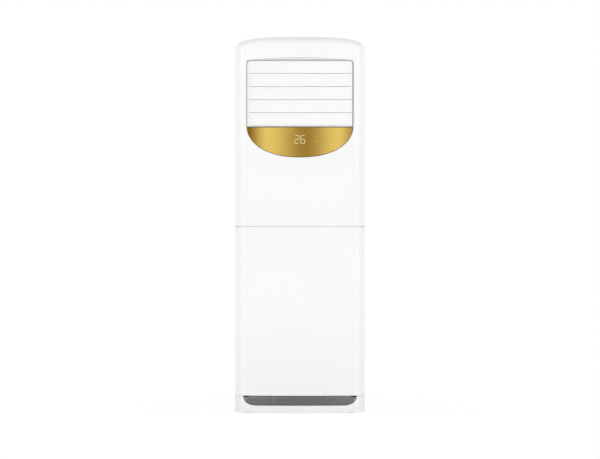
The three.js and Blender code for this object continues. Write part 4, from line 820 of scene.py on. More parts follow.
# A white sill closes the way between the panel's top edge and the duct, and hides the duct's foot.
sill_low, sill_high = 1319 * MM, 1326.5 * MM
sill_outline = rectangle(window_half - MM, sill_low, sill_high)
sill = prism("display_sill", sill_outline, "y", front_y - slack, louvre_plane_y - 0.3 * MM)
sill_skin = shell_wall + 0.1 * MM
combine(sill, shell_body("front_cut", sill_skin, upper_low, shell_back_y), "INTERSECT")
sill_end = window_half - rim_width - MM
end_low = (-sill_end, louvre_plane_y - 1.1 * MM, rim_foot)
combine(sill, block("ends", end_low, (sill_end, louvre_plane_y - 0.3 * MM, sill_high)), "UNION")
soften(sill, 0.2 * MM, 1)
mount(sill, white_shell)


# ------------------------------------------------------------------ lit numbers
# Two seven-segment digits, a status dot and a faint key mark shine on the gold. Each bar is a thin
# light pipe whose end stands just out of the panel.

digit_half_width = 8.9 * MM
digit_half_height = 18.2 * MM
stroke_half = 1.35 * MM
digit_slant = math.tan(math.radians(4))
digits_z = 1262.3 * MM
lit_front, lit_back = front_y, front_y + 0.9 * MM
segment_gap = 0.5 * MM
segment_ends = {
    "a": ((-1, 1), (1, 1)),
    "b": ((1, 1), (1, 0)),
    "c": ((1, 0), (1, -1)),
    "d": ((-1, -1), (1, -1)),
    "e": ((-1, 0), (-1, -1)),
    "f": ((-1, 1), (-1, 0)),
    "g": ((-1, 0), (1, 0)),
}
digit_segments = {"2": "abged", "6": "afgedc"}


def join_all(pieces, name):
    """Joins several pieces into the first one."""
    bpy.ops.object.select_all(action="DESELECT")
    for piece in pieces:
        piece.select_set(True)
    bpy.context.view_layer.objects.active = pieces[0]
    bpy.ops.object.join()
    pieces[0].name = name
    return pieces[0]


def segment(start, end, centre_x):
    """One bar with pointed ends between two corners of a digit."""
    a = Vector((start[0] * digit_half_width, start[1] * digit_half_height))
    b = Vector((end[0] * digit_half_width, end[1] * digit_half_height))
    along = (b - a).normalized()
    a += along * segment_gap
    b -= along * segment_gap
    side = Vector((-along.y, along.x)) * stroke_half
    tip = along * stroke_half
    outline = [a, a + tip - side, b - tip - side, b, b - tip + side, a + tip + side]
    slanted = [(centre_x + p.x + p.y * digit_slant, digits_z + p.y) for p in outline]
    return prism("segment", slanted, "y", lit_front, lit_back)


warm_light = surface("warm_light", (0.86, 0.72, 0.42), 0.4, grain=800, bump=0.02, slot="gold_panel")
lit = []
for digit, centre_x in (("2", -14.4 * MM), ("6", 12.9 * MM)):
    lit += [segment(*segment_ends[key], centre_x) for key in digit_segments[digit]]
marks_z = 1254.5 * MM
dot_front, dot_back = lit_front + 1.9 * MM, lit_back + 2.6 * MM
lit.append(rod("status_dot", "y", 2.3 * MM, dot_front, dot_back, 77 * MM, marks_z, 24))
numbers = join_all(lit, "lit_numbers")
mount(numbers, warm_light)

pale_gold = surface(
    "pale_gold", (0.74, 0.56, 0.22), 0.35, 1.0, grain=800, bump=0.02, slot="gold_panel"
)
key_x = -87.5 * MM
key_y = crown_y(key_x)
key_outer, key_inner = 4.2 * MM, 2.8 * MM
mark = rod("key_mark", "y", key_outer, key_y + 0.1 * MM, key_y + 1.2 * MM, key_x, marks_z)
combine(mark, rod("mark_room", "y", key_inner, key_y - MM, key_y + 2 * MM, key_x, marks_z))
mount(mark, pale_gold)


# ------------------------------------------------------------------ display board and its lead
# A green circuit board behind the gold panel carries the light module and a plug. Its lead, in a
# black sleeve, drops past the drain pan and goes through the deck to the electrical box.

circuit_board = surface("circuit_board", (0.05, 0.20, 0.11), 0.4, grain=260, bump=0.08, mottle=0.12)
fit("display_board", 0.3 * MM, 1, circuit_board)


def smooth_route(points, steps):
    """Points of a smooth curve through given points, closest spaced where they are close."""
    places = [Vector(p) for p in points]
    places = [2 * places[0] - places[1], *places, 2 * places[-1] - places[-2]]
    route = []
    for i in range(1, len(places) - 2):
        p, q, r, s = places[i - 1 : i + 3]
        before, between, after = ((b - a).length ** 0.5 for a, b in ((p, q), (q, r), (r, s)))
        start = ((q - p) / before - (r - p) / (before + between)) * between + (r - q)
        end = (r - q) - ((s - q) / (between + after) - (s - r) / after) * between
        for k in range(steps):
            t = k / steps
            route.append(
                (2 * t**3 - 3 * t**2 + 1) * q
                + (t**3 - 2 * t**2 + t) * start
                + (3 * t**2 - 2 * t**3) * r
                + (t**3 - t**2) * end
            )
    route.append(places[-2])
    return route


def tube(name, route, radius, sides=4, widths=None):
    """Round closed tube along a route of points, with a share of its radius for each if given."""
    line = bpy.data.curves.new(name, "CURVE")
    line.dimensions = "3D"
    line.bevel_depth = radius
    line.bevel_resolution = sides
    line.use_fill_caps = True
    spline = line.splines.new("POLY")
    spline.points.add(len(route) - 1)
    for point, place, width in zip(spline.points, route, widths or [1] * len(route)):
        point.co = (*place, 1)
        point.radius = width
    piece = bpy.data.objects.new(name, line)
    bpy.context.collection.objects.link(piece)
    select_only(piece)
    bpy.ops.object.convert(target="MESH")
    outward(piece)
    shade_smooth(piece, 50)
    return piece


deck_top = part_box("mid_deck")[1][2]
lead_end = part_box("display_lead")[1]
lead_y = -166 * MM
lead_x = 62 * MM
lead_radius = 2.5 * MM
plug_y = lead_end[1] - 2.6 * MM
display_route = [
    (0, plug_y, lead_end[2]),
    (0, plug_y, lead_end[2] - 18 * MM),
    (lead_x / 3, lead_y, lead_end[2] - 100 * MM),
    (lead_x * 0.75, lead_y, lead_end[2] - 240 * MM),
    (lead_x, lead_y, deck_top + 20 * MM),
    (lead_x, lead_y + 5 * MM, deck_top - 6 * MM),
    (lead_x, lead_y + 18 * MM, deck_top - 13 * MM),
    (lead_x, lead_end[1], deck_top - 13 * MM),
]
lead = tube("display_lead_made", smooth_route(display_route, 8), lead_radius)
mount(lead, black_plastic, "display_lead")


# ------------------------------------------------------------------ base plinth
# A grey-white moulding that carries on the front's bowed plan and closes round the back. Its low
# wide slot has rounded bottom corners, and its foot curls up at both front corners.

plinth_white = surface(
    "plinth_white", (0.875, 0.876, 0.879), 0.40, bump=0.04, mottle=0.006, slot="white_shell"
)
plinth_low, plinth_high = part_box("base_plinth")
plinth_back = plinth_high[1]
plinth_top = 80.7 * MM
plinth = shell_body("base_plinth_made", 0, plinth_low[2], plinth_back, plinth_top)
room_low, room_high = plinth_low[2] - slack, plinth_top + slack
combine(plinth, shell_body("room", shell_wall, room_low, plinth_back - shell_wall, room_high))
# The side panels and the back panel stand on this step behind the front.
step_low = (-half_width - slack, shell_back_y, plinth_high[2])
combine(plinth, block("step", step_low, (half_width + slack, plinth_back + slack, room_high)))

slot_half = 261.7 * MM
slot_bottom = 35.3 * MM
slot_corner = (66 * MM, 43 * MM)
corner_fullness = 0.87
corner_steps = 20
corner = []
for i in range(corner_steps + 1):
    turn = math.pi / 2 * i / corner_steps
    x = slot_half - slot_corner[0] * (1 - math.cos(turn) ** corner_fullness)
    corner.append((x, slot_bottom + slot_corner[1] * (1 - math.sin(turn) ** corner_fullness)))
slot = [(slot_half, room_high), (-slot_half, room_high)]
slot += [(-x, z) for x, z in corner] + corner[::-1]
combine(plinth, prism("slot", slot, "y", front_y - slack, crease_y))

# The front corners of the foot rise in a shallow curve, so the plinth meets the floor as a curl.
curl_start = 238 * MM
curl_rise = 9.5 * MM
curl_back = crease_y + 40 * MM
curl_steps = 10
past_side = half_width + slack
foot_z = plinth_low[2]
for side in (-1, 1):
    curl = [(side * past_side, foot_z - slack), (side * curl_start, foot_z - slack)]
    for i in range(curl_steps + 1):
        share = i / curl_steps
        x = curl_start + (half_width - curl_start) * share
        curl.append((side * x, foot_z + curl_rise * share**2))
    curl.append((side * past_side, foot_z + curl_rise))
    combine(plinth, prism("curl", curl, "y", front_y - slack, curl_back))
soften(plinth, mould_round)
mount(plinth, plinth_white, "base_plinth")


# ------------------------------------------------------------------ plinth grille
# A satin dark grey moulding stands behind the slot: fine upright bars in a frame, crossed by two
# rails. Two ears on it hold the pins that the lower front panel tips on.


def repeat(piece, count, step):
    """Repeats a piece in a straight row, one step apart."""
    row = piece.modifiers.new("row", "ARRAY")
    row.count = count
    row.use_relative_offset = False
    row.use_constant_offset = True
    row.constant_offset_displace = step
    apply_modifiers(piece)
    return piece


grille_low, grille_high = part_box("plinth_grille")
grille_top = plinth_high[2]
grille_back = grille_high[1]
grille_face = grille_back - 6 * MM
grille_half = grille_high[0]
grille_grey = surface(
    "grille_grey", (0.262, 0.267, 0.269), 0.45, grain=500, bump=0.08, slot="dark_plastic"
)
bar_pitch = 5 * MM
bar_gap = 2.2 * MM
frame_edge = 8 * MM
grille_corner = (-grille_half, grille_face, grille_low[2])
grille = block("plinth_grille_made", grille_corner, (grille_half, grille_back, grille_top))
side_bars = int((grille_half - 12 * MM) / bar_pitch)
first_x = -side_bars * bar_pitch
cuts_low = (first_x - bar_gap / 2, grille_face - MM, grille_low[2] + frame_edge)
cuts_high = (first_x + bar_gap / 2, grille_back + MM, grille_top - frame_edge)
cuts = block("cuts", cuts_low, cuts_high)
combine(grille, repeat(cuts, 2 * side_bars + 1, (bar_pitch, 0, 0)))
rail_half = 1.2 * MM
for rail_z in (48 * MM, 61 * MM):
    rail_low = (-grille_half + frame_edge, grille_face + 3 * MM, rail_z - rail_half)
    rail_high = (grille_half - frame_edge, grille_back - 0.4 * MM, rail_z + rail_half)
    combine(grille, block("rail", rail_low, rail_high), "UNION")
# Its upper end corners are cut away, to stay clear of the plinth's side walls.
notch_run, notch_drop = 26 * MM, 5 * MM
for side in (-1, 1):
    near_x, far_x = sided(side, grille_half - notch_run, grille_half + MM)
    notch_low = (near_x, grille_face - MM, grille_top - notch_drop)
    combine(grille, block("notch", notch_low, (far_x, grille_back + MM, grille_top + MM)))
soften(grille, 0.35 * MM, 1, shade=50)
mount(grille, grille_grey, "plinth_grille")

ear_grey = surface("ear_grey", (0.26, 0.264, 0.266), 0.5, grain=500, bump=0.08, slot="dark_plastic")
ears = []
ear_near = hinge_x + lug_half + 0.5 * MM
ear_wide, ear_half, ear_drop = 6 * MM, 5 * MM, 24 * MM
hinge_pin = 3.5 * MM
for side in (-1, 1):
    near_x, far_x = sided(side, ear_near, ear_near + ear_wide)
    ear_outline = [
        (grille_back - MM, grille_top - ear_drop),
        (grille_face + MM, grille_top - ear_drop),
        (hinge_y - ear_half, hinge_z - ear_half),
        (hinge_y - ear_half, hinge_z + ear_half),
        (hinge_y + ear_half, hinge_z + 9 * MM),
        (grille_back, hinge_z),
    ]
    ear = prism("ear", ear_outline, "x", near_x, far_x)
    pin_ends = sided(side, hinge_x - lug_half, ear_near + MM)
    combine(ear, rod("pin", "x", hinge_pin, *pin_ends, hinge_y, hinge_z), "UNION")
    ears.append(soften(ear, 0.35 * MM, 1, shade=50))
mount(join_all(ears, "hinge_ears"), ear_grey)


# ------------------------------------------------------------------ base pan and feet
# The pan is a folded tray of zinc-coated sheet that all else stands on. Four round rubber feet
# with a chamfered tread are pressed into its underside.

fit("base_pan", 0.5 * MM, 2, galvanised)
rubber = surface("rubber", (0.03, 0.03, 0.032), 0.75, grain=500, bump=0.18, mottle=0.08)
foot_radius, foot_top = 22 * MM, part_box("foot_front_left")[1][2]
tread_radius, tread_depth = 9 * MM, 1.6 * MM
groove_half, groove_depth = 0.9 * MM, 0.9 * MM
foot = rod("foot", "z", foot_radius, 0, foot_top, 0, 0, 64)
bevel_edges(foot, lambda at, way: at.z < 0.5 * MM, 2 * MM, 4)
combine(foot, rod("tread", "z", tread_radius, -MM, tread_depth, 0, 0, 48))
for radius in (12.5 * MM, 16.5 * MM):
    ring = rod("ring", "z", radius + groove_half, -MM, groove_depth, 0, 0, 64)
    combine(ring, rod("core", "z", radius - groove_half, -2 * MM, 2 * MM, 0, 0, 64))
    combine(foot, ring)
soften(foot, 0.25 * MM, 1, angle=50, shade=40)
for node in ("foot_front_left", "foot_front_right", "foot_rear_left", "foot_rear_right"):
    low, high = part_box(node)
    middle = ((low[0] + high[0]) / 2, (low[1] + high[1]) / 2, 0)
    mount(copied(foot, node + "_made", middle), rubber, node)
bpy.data.objects.remove(foot)


# ------------------------------------------------------------------ side panels
# Folded steel sheet, powder coated white, with a flange at each long edge for the front shells and
# the back panel, and a large cut-out for the air intake. It hooks into the base and the top.

white_steel = surface("white_steel", (0.90, 0.902, 0.905), 0.46, grain=260, bump=0.10, mottle=0.008)
for hand in ("left", "right"):
    node = hand + "_side_panel"
    fit(node, 0.6 * MM, 2, white_steel)


# ------------------------------------------------------------------ side intakes
# A white moulded grille fills each cut-out: sixteen slats that slope down to the outside in a
# frame, with two rails behind them that guide the filter.

for hand in ("left", "right"):
    node = hand + "_intake_grille"
    fit(node, 0.45 * MM, 2, white_plastic)


# ------------------------------------------------------------------ air filters
# Each filter is a thin dark plastic frame with four panes: a lattice with fine woven net in it. It
# slides in through a slot in the back panel, and its rear edge is the finger grip.

net_black = surface("net_black", (0.05, 0.052, 0.055), 0.6, mottle=0.03, slot="dark_plastic")
tree = net_black.node_tree
weave = set_sockets(tree.nodes.new("ShaderNodeTexChecker"), Scale=420)
set_sockets(weave, Color1=(0.10, 0.105, 0.11, 1), Color2=(0.012, 0.012, 0.013, 1))
tree.links.new(tree.nodes["Texture Coordinate"].outputs["Object"], weave.inputs["Vector"])
tree.links.new(weave.outputs["Color"], tree.nodes["Principled BSDF"].inputs["Base Color"])
tree.links.new(weave.outputs["Fac"], tree.nodes["Bump"].inputs["Height"])
tree.nodes["Bump"].inputs["Strength"].default_value = 0.4

filter_frame = 9 * MM
pane_gap = 6 * MM
pane_count = 4
pane_skin = 1.2 * MM
net_half = pane_skin / 2 + 0.1 * MM
cell_rows, cell_columns = 6, 8
lattice_width = 1.4 * MM
pane_low_y, pane_high_y = -37 * MM, 130 * MM


def lattice(name, low, high):
    """Thin upright plate with a grid of square-cornered cells cut through it."""
    plate = block(name, low, high)
    pitch_y = (high[1] - low[1] - lattice_width) / cell_columns
    pitch_z = (high[2] - low[2] - lattice_width) / cell_rows
    cell_low = (low[0] - MM, low[1] + lattice_width, low[2] + lattice_width)
    cells = block("cells", cell_low, (high[0] + MM, low[1] + pitch_y, low[2] + pitch_z))
    repeat(cells, cell_columns, (0, pitch_y, 0))
    repeat(cells, cell_rows, (0, 0, pitch_z))
    return combine(plate, cells)


for hand in ("left", "right"):
    node = hand + "_air_filter"
    low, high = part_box(node)
    middle_x = (low[0] + high[0]) / 2
    pane_pitch = (high[2] - low[2] - 2 * filter_frame + pane_gap) / pane_count
    near = (pane_low_y - MM, low[2] + filter_frame - MM)
    far = (pane_high_y + MM, low[2] + filter_frame + pane_pitch - pane_gap + MM)
    pane = lattice("pane", (middle_x - pane_skin, *near), (middle_x + pane_skin, *far))
    net = block("net", (middle_x - net_half, *near), (middle_x + net_half, *far))
    made = [refined(node, 0.4 * MM, 2)]
    nets = []
    for i in range(pane_count):
        made.append(copied(pane, "pane", (0, 0, i * pane_pitch)))
        nets.append(copied(net, "net", (0, 0, i * pane_pitch)))
    for spare in (pane, net):
        bpy.data.objects.remove(spare)
    body = hand + "_filter"
    mount(join_all(made, node + "_made"), dark_plastic, node, body=body)
    mount(join_all(nets, body + "_net"), net_black, body=body)


# ------------------------------------------------------------------ top cover
# The rear half of the rounded top is a separate white moulding with a 3 mm wall. It carries on
# the front shell's arch and closes down to the side and back panels.

cover_low, cover_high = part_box("top_cover")


def arch_outline(skin, low, steps=64):
    """Arch of the rounded top, a skin under its surface, down to a chosen height."""
    points = [(-(half_width - skin), low), (half_width - skin, low)]
    half = [arch_place(math.pi / 2 * i / steps) for i in range(steps + 1)]
    sides = [(across * (half_width - skin), up * (arch_height - skin)) for across, up in half]
    points += [(x, arch_foot + z) for x, z in sides]
    points += [(-x, arch_foot + z) for x, z in sides[-2::-1]]
    return points


cover = prism("top_cover_made", arch_outline(0, cover_low[2]), "y", cover_low[1], cover_high[1])
room = arch_outline(shell_wall, cover_low[2] - slack)
combine(cover, prism("room", room, "y", cover_low[1] - slack, cover_high[1] - shell_wall))
soften(cover, mould_round, shade=40)
mount(cover, white_shell, "top_cover")


# ------------------------------------------------------------------ back panel
# One sheet of zinc-coated steel with pressed stiffening beads, a hole for the pipes and a slot for
# each filter. Screws along its edges hold it to the side panels, the deck and the base.

screw_steel = surface(
    "screw_steel", (0.55, 0.56, 0.57), 0.32, 1.0, grain=900, bump=0.03, slot="galvanised_steel"
)


def screws(name, places, toward, radius, paint=screw_steel):
    """Pan head screws with a cross recess: one is modelled, turned and copied to each place."""
    height = 1.5 * MM
    recess_length, recess_width = 0.62 * radius, 0.14 * radius
    head = rod("head", "z", radius, -1.2 * MM, height, 0, 0, 24)
    for half_u, half_v in ((recess_length, recess_width), (recess_width, recess_length)):
        combine(head, block("cross", (-half_u, -half_v, 0.5 * MM), (half_u, half_v, height + MM)))
    soften(head, 0.35 * MM, 2, shade=40)
    head.data.transform(Vector((0, 0, 1)).rotation_difference(Vector(toward)).to_matrix().to_4x4())
    heads = [copied(head, "head", place) for place in places]
    bpy.data.objects.remove(head)
    mount(join_all(heads, name), paint)


fit("back_panel", 0.35 * MM, 2, galvanised)
back_face = 166 * MM
top_row, deck_row, foot_row = 1660 * MM, 851 * MM, 90 * MM
places = []
for x in (-292 * MM, 292 * MM):
    for z in (100 * MM, 480 * MM, 790 * MM, 1080 * MM, 1370 * MM, 1650 * MM):
        places.append((x, back_face, z))
for x in (-200 * MM, -75 * MM, 75 * MM):
    places.append((x, back_face, foot_row))
for x in (-225 * MM, -75 * MM, 75 * MM, 225 * MM):
    places += [(x, back_face, top_row), (x, back_face, deck_row)]
screws("back_screws", places, (0, 1, 0), 3.6 * MM)


# ------------------------------------------------------------------ wall bracket
# A folded steel bracket against tipping, screwed to the back panel under the rounded top. Its
# upper leg has two holes for the screws that go into the room's wall.

fit("wall_bracket", 0.4 * MM, 2, galvanised)
bracket_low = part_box("wall_bracket")[0]
bracket_face = bracket_low[1] + 2 * MM
places = [(x, bracket_face, bracket_low[2] + 20 * MM) for x in (-40 * MM, 40 * MM)]
screws("bracket_screws", places, (0, 1, 0), 4.2 * MM)


# ------------------------------------------------------------------ pipe grommet
# A soft black rubber grommet in the back panel's hole seals round the two pipes and the drain hose.

fit("pipe_grommet", 0.6 * MM, 2, rubber)


# ------------------------------------------------------------------ middle deck, pan and baffle
# A folded steel deck parts the blower room from the outlet room. The moulded drain pan lies on it
# under the coil, and a sheet baffle closes the way past the coil's upper edge.

fit("mid_deck", 0.35 * MM, 2, galvanised)
grey_moulding = surface(
    "grey_moulding", (0.42, 0.425, 0.43), 0.5, grain=420, bump=0.12, mottle=0.03
)
fit("drain_pan", 0.5 * MM, 2, grey_moulding)
fit("coil_baffle", 0.35 * MM, 2, galvanised)


# ------------------------------------------------------------------ coil
# The cooling coil is a leaned block of thin aluminium fins pressed on copper tubes. A steel plate
# closes each end, where return bends join the tubes, each brazed in with a collar.

coil_half = 250 * MM
coil_length = 380 * MM
coil_depth = 50 * MM
coil_lean = math.radians(28)
coil_middle_y = -10.8 * MM
coil_middle_z = 1049.7 * MM
coil_turn = Matrix.Translation((0, coil_middle_y, coil_middle_z))
coil_turn = coil_turn @ Matrix.Rotation(-coil_lean, 4, "X")
fin_pitch = 2.5 * MM
fin_skin = 0.22 * MM
wave = 0.45 * MM
wave_steps = 10
aluminium = surface(
    "aluminium_fin", (0.66, 0.68, 0.70), 0.38, 1.0, grain=700, bump=0.05, mottle=0.04
)
copper = surface("copper_tube", (0.72, 0.33, 0.16), 0.30, 1.0, grain=300, bump=0.05, mottle=0.10)

fin_front = []
for i in range(wave_steps + 1):
    x = wave if i % 2 else -wave
    fin_front.append((x - fin_skin, -coil_depth / 2 + coil_depth * i / wave_steps))
fin_back = [(x + 2 * fin_skin, y) for x, y in fin_front[::-1]]
fin = prism("coil_fins_made", fin_front + fin_back, "z", -coil_length / 2, coil_length / 2)
fin_count = int((2 * coil_half - 2 * wave - 2 * fin_skin) / fin_pitch) + 1
fin.data.transform(Matrix.Translation((-(fin_count - 1) / 2 * fin_pitch, 0, 0)))
repeat(fin, fin_count, (fin_pitch, 0, 0))
fin.data.transform(coil_turn)
mount(fin, aluminium, "coil_fins")

tube_radius = 4.5 * MM
bend_radius = 12.5 * MM
bend_count, bend_pitch = 6, 55 * MM
first_bend = -165 * MM
bend_places = [first_bend + bend_pitch * i for i in range(bend_count)]
plate_face, plate_gap = 252.3 * MM, 0.3 * MM
runs = []
for middle in bend_places:
    for along in (middle - bend_radius, middle + bend_radius):
        runs.append(rod("run", "x", tube_radius, -coil_half - MM, coil_half + MM, 0, along, 20))
runs = join_all(runs, "coil_tubes")
runs.data.transform(coil_turn)
shade_smooth(runs, 40)
mount(runs, copper)

plate_half_depth, plate_half_length = 28 * MM, 193 * MM
for hand, side in (("left", -1), ("right", 1)):
    near_x, far_x = sided(side, coil_half + plate_gap, plate_face)
    plate_low = (near_x, -plate_half_depth, -plate_half_length)
    plate_high = (far_x, plate_half_depth, plate_half_length)
    end_plate = block(f"coil_plate_{hand}_made", plate_low, plate_high)
    soften(end_plate, 0.5 * MM, 2)
    end_plate.data.transform(coil_turn)
    mount(end_plate, galvanised, f"coil_plate_{hand}")
    bends = []
    for middle in bend_places:
        half_turn = arc(0, middle, bend_radius, -90, 180, 16)
        route = [(side * (plate_face - 0.8 * MM + out), 0, along) for out, along in half_turn]
        bends.append(tube("bend", route, tube_radius - 0.1 * MM))
        for along in (middle - bend_radius, middle + bend_radius):
            collar_ends = sided(side, plate_face - 0.5 * MM, plate_face + 1.6 * MM)
            collar = rod("collar", "x", tube_radius + 0.7 * MM, *collar_ends, 0, along, 24)
            bends.append(soften(collar, 0.4 * MM, 2))
    bends = join_all(bends, f"return_bends_{hand}")
    bends.data.transform(coil_turn)
    mount(bends, copper)


# ------------------------------------------------------------------ refrigerant pipes
# Two bent copper pipes leave the coil's right plate, drop behind the blower and go out through
# the grommet: a thick one for gas and a thin one for liquid. Their ends are cut square, and open.

exit_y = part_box("gas_pipe")[1][1]
bore_end = exit_y - 12 * MM
riser_y = 138 * MM
exit_z = 160 * MM
pipe_start = 252.6 * MM
pipe_wall = 1.1 * MM
# Radius, place on the coil's plate (depth, length), riser's place and exit's place from the middle.
pipe_sizes = {
    "gas_pipe": (8 * MM, 8 * MM, 142 * MM, 264 * MM, 217 * MM),
    "liquid_pipe": (5 * MM, -8 * MM, 176 * MM, 240 * MM, 193 * MM),
}
for node, (radius, depth, along, riser_x, exit_x) in pipe_sizes.items():
    x, y, z = coil_turn @ Vector((pipe_start, depth, along))
    places = [
        (x, y, z),
        (x + 12 * MM, y, z),
        (x + 20 * MM, y + 18 * MM, z - 10 * MM),
        (riser_x + 4 * MM, riser_y - 16 * MM, z - 60 * MM),
        (riser_x, riser_y, z - 130 * MM),
        (riser_x, riser_y, 700 * MM),
        (riser_x, riser_y, exit_z + 160 * MM),
        (riser_x - 6 * MM, riser_y, exit_z + 62 * MM),
        (exit_x + 18 * MM, riser_y, exit_z + 14 * MM),
        (exit_x + 3 * MM, riser_y + 4 * MM, exit_z + MM),
        (exit_x, riser_y + 14 * MM, exit_z),
    ]
    route = smooth_route(places, 10) + [Vector((exit_x, exit_y, exit_z))]
    pipe = tube(node + "_made", route, radius, 7)
    combine(pipe, rod("bore", "y", radius - pipe_wall, bore_end, exit_y + MM, exit_x, exit_z))
    shade_smooth(pipe, 40)
    mount(pipe, copper, node)


# ------------------------------------------------------------------ drain hose
# A ribbed grey hose is pushed over the drain pan's spout, runs down beside the scroll and goes out
# under the pipes. Its cuff at the spout and its open end are smooth.

hose_radius = 9 * MM
hose_rib = 0.7 * MM
hose_rib_pitch = 5 * MM
hose_wall = 1.6 * MM
cuff_length = 34 * MM
hose_z = 141 * MM
hose_exit_x = 205 * MM
spout_x, spout_y = 235 * MM, -125 * MM
spout_radius, spout_low, hose_top = 7.4 * MM, 816 * MM, 861.2 * MM
hose_places = [
    (spout_x, spout_y, hose_top),
    (spout_x, spout_y, 832.5 * MM),
    (spout_x, spout_y, hose_z + 300 * MM),
    (spout_x, spout_y + 10 * MM, hose_z + 160 * MM),
    (spout_x - 6 * MM, spout_y + 65 * MM, hose_z + 60 * MM),
    (spout_x - 18 * MM, spout_y + 150 * MM, hose_z + 14 * MM),
    (hose_exit_x + 2 * MM, riser_y - 22 * MM, hose_z + MM),
    (hose_exit_x, riser_y + 8 * MM, hose_z),
]


def spaced(route, step):
    """Points at even steps along a route."""
    points, ahead = [route[0]], step
    for start, end in zip(route, route[1:]):
        run = (end - start).length
        while ahead <= run:
            points.append(start.lerp(end, ahead / run))
            ahead += step
        ahead -= run
    return points


hose_step = hose_rib_pitch / 4
hose_end = Vector((hose_exit_x, exit_y, hose_z))
route = spaced(smooth_route(hose_places, 12) + [hose_end], hose_step)
route[-1] = hose_end
cuff = int(cuff_length / hose_step)
widths = []
for i in range(len(route)):
    smooth = i < cuff or i > len(route) - cuff
    widths.append(1 if smooth or i % 4 < 2 else 1 - hose_rib / hose_radius)
hose = tube("drain_hose_made", route, hose_radius, 5, widths)
bore = rod("bore", "y", hose_radius - hose_wall, bore_end, exit_y + MM, hose_exit_x, hose_z)
combine(hose, bore)
combine(hose, rod("spout_room", "z", spout_radius, spout_low, hose_top + MM, spout_x, spout_y))
shade_smooth(hose, 50)
mount(hose, grey_moulding, "drain_hose")


# ------------------------------------------------------------------ scroll housing and bell mouth
# The blower's spiral housing is rolled from zinc-coated sheet: it opens from the tongue into the
# straight neck under the deck. Its front plate has a spun bell mouth that leads air to the wheel.

fan_x, fan_z = -10 * MM, 430 * MM
wheel_radius = 160 * MM
scroll_start = 172 * MM
scroll_end = 255 * MM
tongue_angle = math.radians(75)
neck_right = 60 * MM
tongue_rise = 24 * MM
scroll_sweep = tongue_angle + math.pi
scroll_growth = math.log(scroll_end / scroll_start) / scroll_sweep
scroll_skin, rear_wall = 2.5 * MM, 3 * MM
scroll_front, scroll_back = -35.3 * MM, 103 * MM
scroll_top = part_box("scroll_housing")[1][2]
scroll_steps = 72


def scroll_point(swept, skin):
    """Place (x, z) on the spiral at an angle from the tongue, a skin outside the air's path."""
    radius = scroll_start * math.exp(scroll_growth * swept) + skin
    turn = tongue_angle - swept
    return fan_x + radius * math.cos(turn), fan_z + radius * math.sin(turn)


def scroll_outline(skin, top):
    """Outline of the spiral from the tongue into the straight neck."""
    right = fan_x + neck_right + skin
    points = [(right, top), (right, fan_z + scroll_start + tongue_rise)]
    points += [scroll_point(scroll_sweep * i / scroll_steps, skin) for i in range(scroll_steps + 1)]
    points.append((fan_x - scroll_end - skin, top))
    return points


def lathe(name, profile, sides):
    """Closed profile of (radius, y) points, spun once round the blower's axis."""
    bpy.ops.object.select_all(action="DESELECT")
    bpy.ops.mesh.primitive_circle_add(vertices=len(profile), fill_type="NOTHING")
    piece = bpy.context.active_object
    piece.name = name
    for corner, (radius, y) in zip(piece.data.vertices, profile):
        corner.co = (fan_x + radius, y, fan_z)
    bpy.ops.object.mode_set(mode="EDIT")
    bpy.ops.mesh.select_all(action="SELECT")
    bpy.ops.mesh.spin(steps=sides, angle=2 * math.pi, center=(fan_x, 0, fan_z), axis=(0, 1, 0))
    bpy.ops.object.mode_set(mode="OBJECT")
    return outward(piece)


outline = scroll_outline(scroll_skin, scroll_top)
housing = prism("scroll_housing_made", outline, "y", scroll_front, scroll_back)
air_path = scroll_outline(0, scroll_top + slack)
combine(housing, prism("air_path", air_path, "y", scroll_front - slack, scroll_back - rear_wall))
motor_eye = 20 * MM
rear_eye = rod("eye", "y", motor_eye, scroll_back - slack, scroll_back + slack, fan_x, fan_z, 64)
combine(housing, rear_eye)
soften(housing, 0.4 * MM, 2, shade=30)
mount(housing, galvanised, "scroll_housing")

plate_back = scroll_front - 0.3 * MM
plate_front = plate_back - 3 * MM
mouth_edge, mouth_run = 166 * MM, 26 * MM
mouth_depth = 16 * MM
mouth_steps = 12
cover_plate = prism("scroll_cover_made", outline, "y", plate_front, plate_back)
eye = rod("eye", "y", wheel_radius, plate_front - slack, plate_back + slack, fan_x, fan_z, 96)
combine(cover_plate, eye)
mouth = []
for i in range(mouth_steps + 1):
    bend = math.pi / 2 * i / mouth_steps
    depth = plate_front - MM + mouth_depth * (1 - math.cos(bend))
    mouth.append((mouth_edge - mouth_run * math.sin(bend), depth))
mouth += [(radius + scroll_skin, y + 1.2 * MM) for radius, y in mouth[::-1]]
combine(cover_plate, lathe("mouth", mouth, 96), "UNION")
soften(cover_plate, 0.3 * MM, 1, angle=50, shade=30)
mount(cover_plate, galvanised, "scroll_cover")
screw_inset = 5 * MM
screw_shares = [0.148 + 0.088 * i for i in range(10)]
rim_places = [scroll_point(scroll_sweep * share, -screw_inset) for share in screw_shares]
places = [(x, plate_front, z) for x, z in rim_places]
screws("scroll_screws", places, (0, -1, 0), 3 * MM)


# ------------------------------------------------------------------ blower wheel and shaft
# A black moulded wheel with 36 forward-curved blades between a dished disc and a front ring. Its
# hub is clamped on the motor's bright steel shaft.


def hoop(name, inner, outer, front, back, sides):
    """Flat-sided ring round the blower's axis."""
    return lathe(name, [(inner, front), (outer, front), (outer, back), (inner, back)], sides)


def round_axis(piece, share):
    """Turns a piece about the world's middle by a share of a turn, then moves it to the axis."""
    piece.data.transform(Matrix.Rotation(share * 2 * math.pi, 4, "Y"))
    piece.data.transform(Matrix.Translation((fan_x, 0, fan_z)))
    return piece


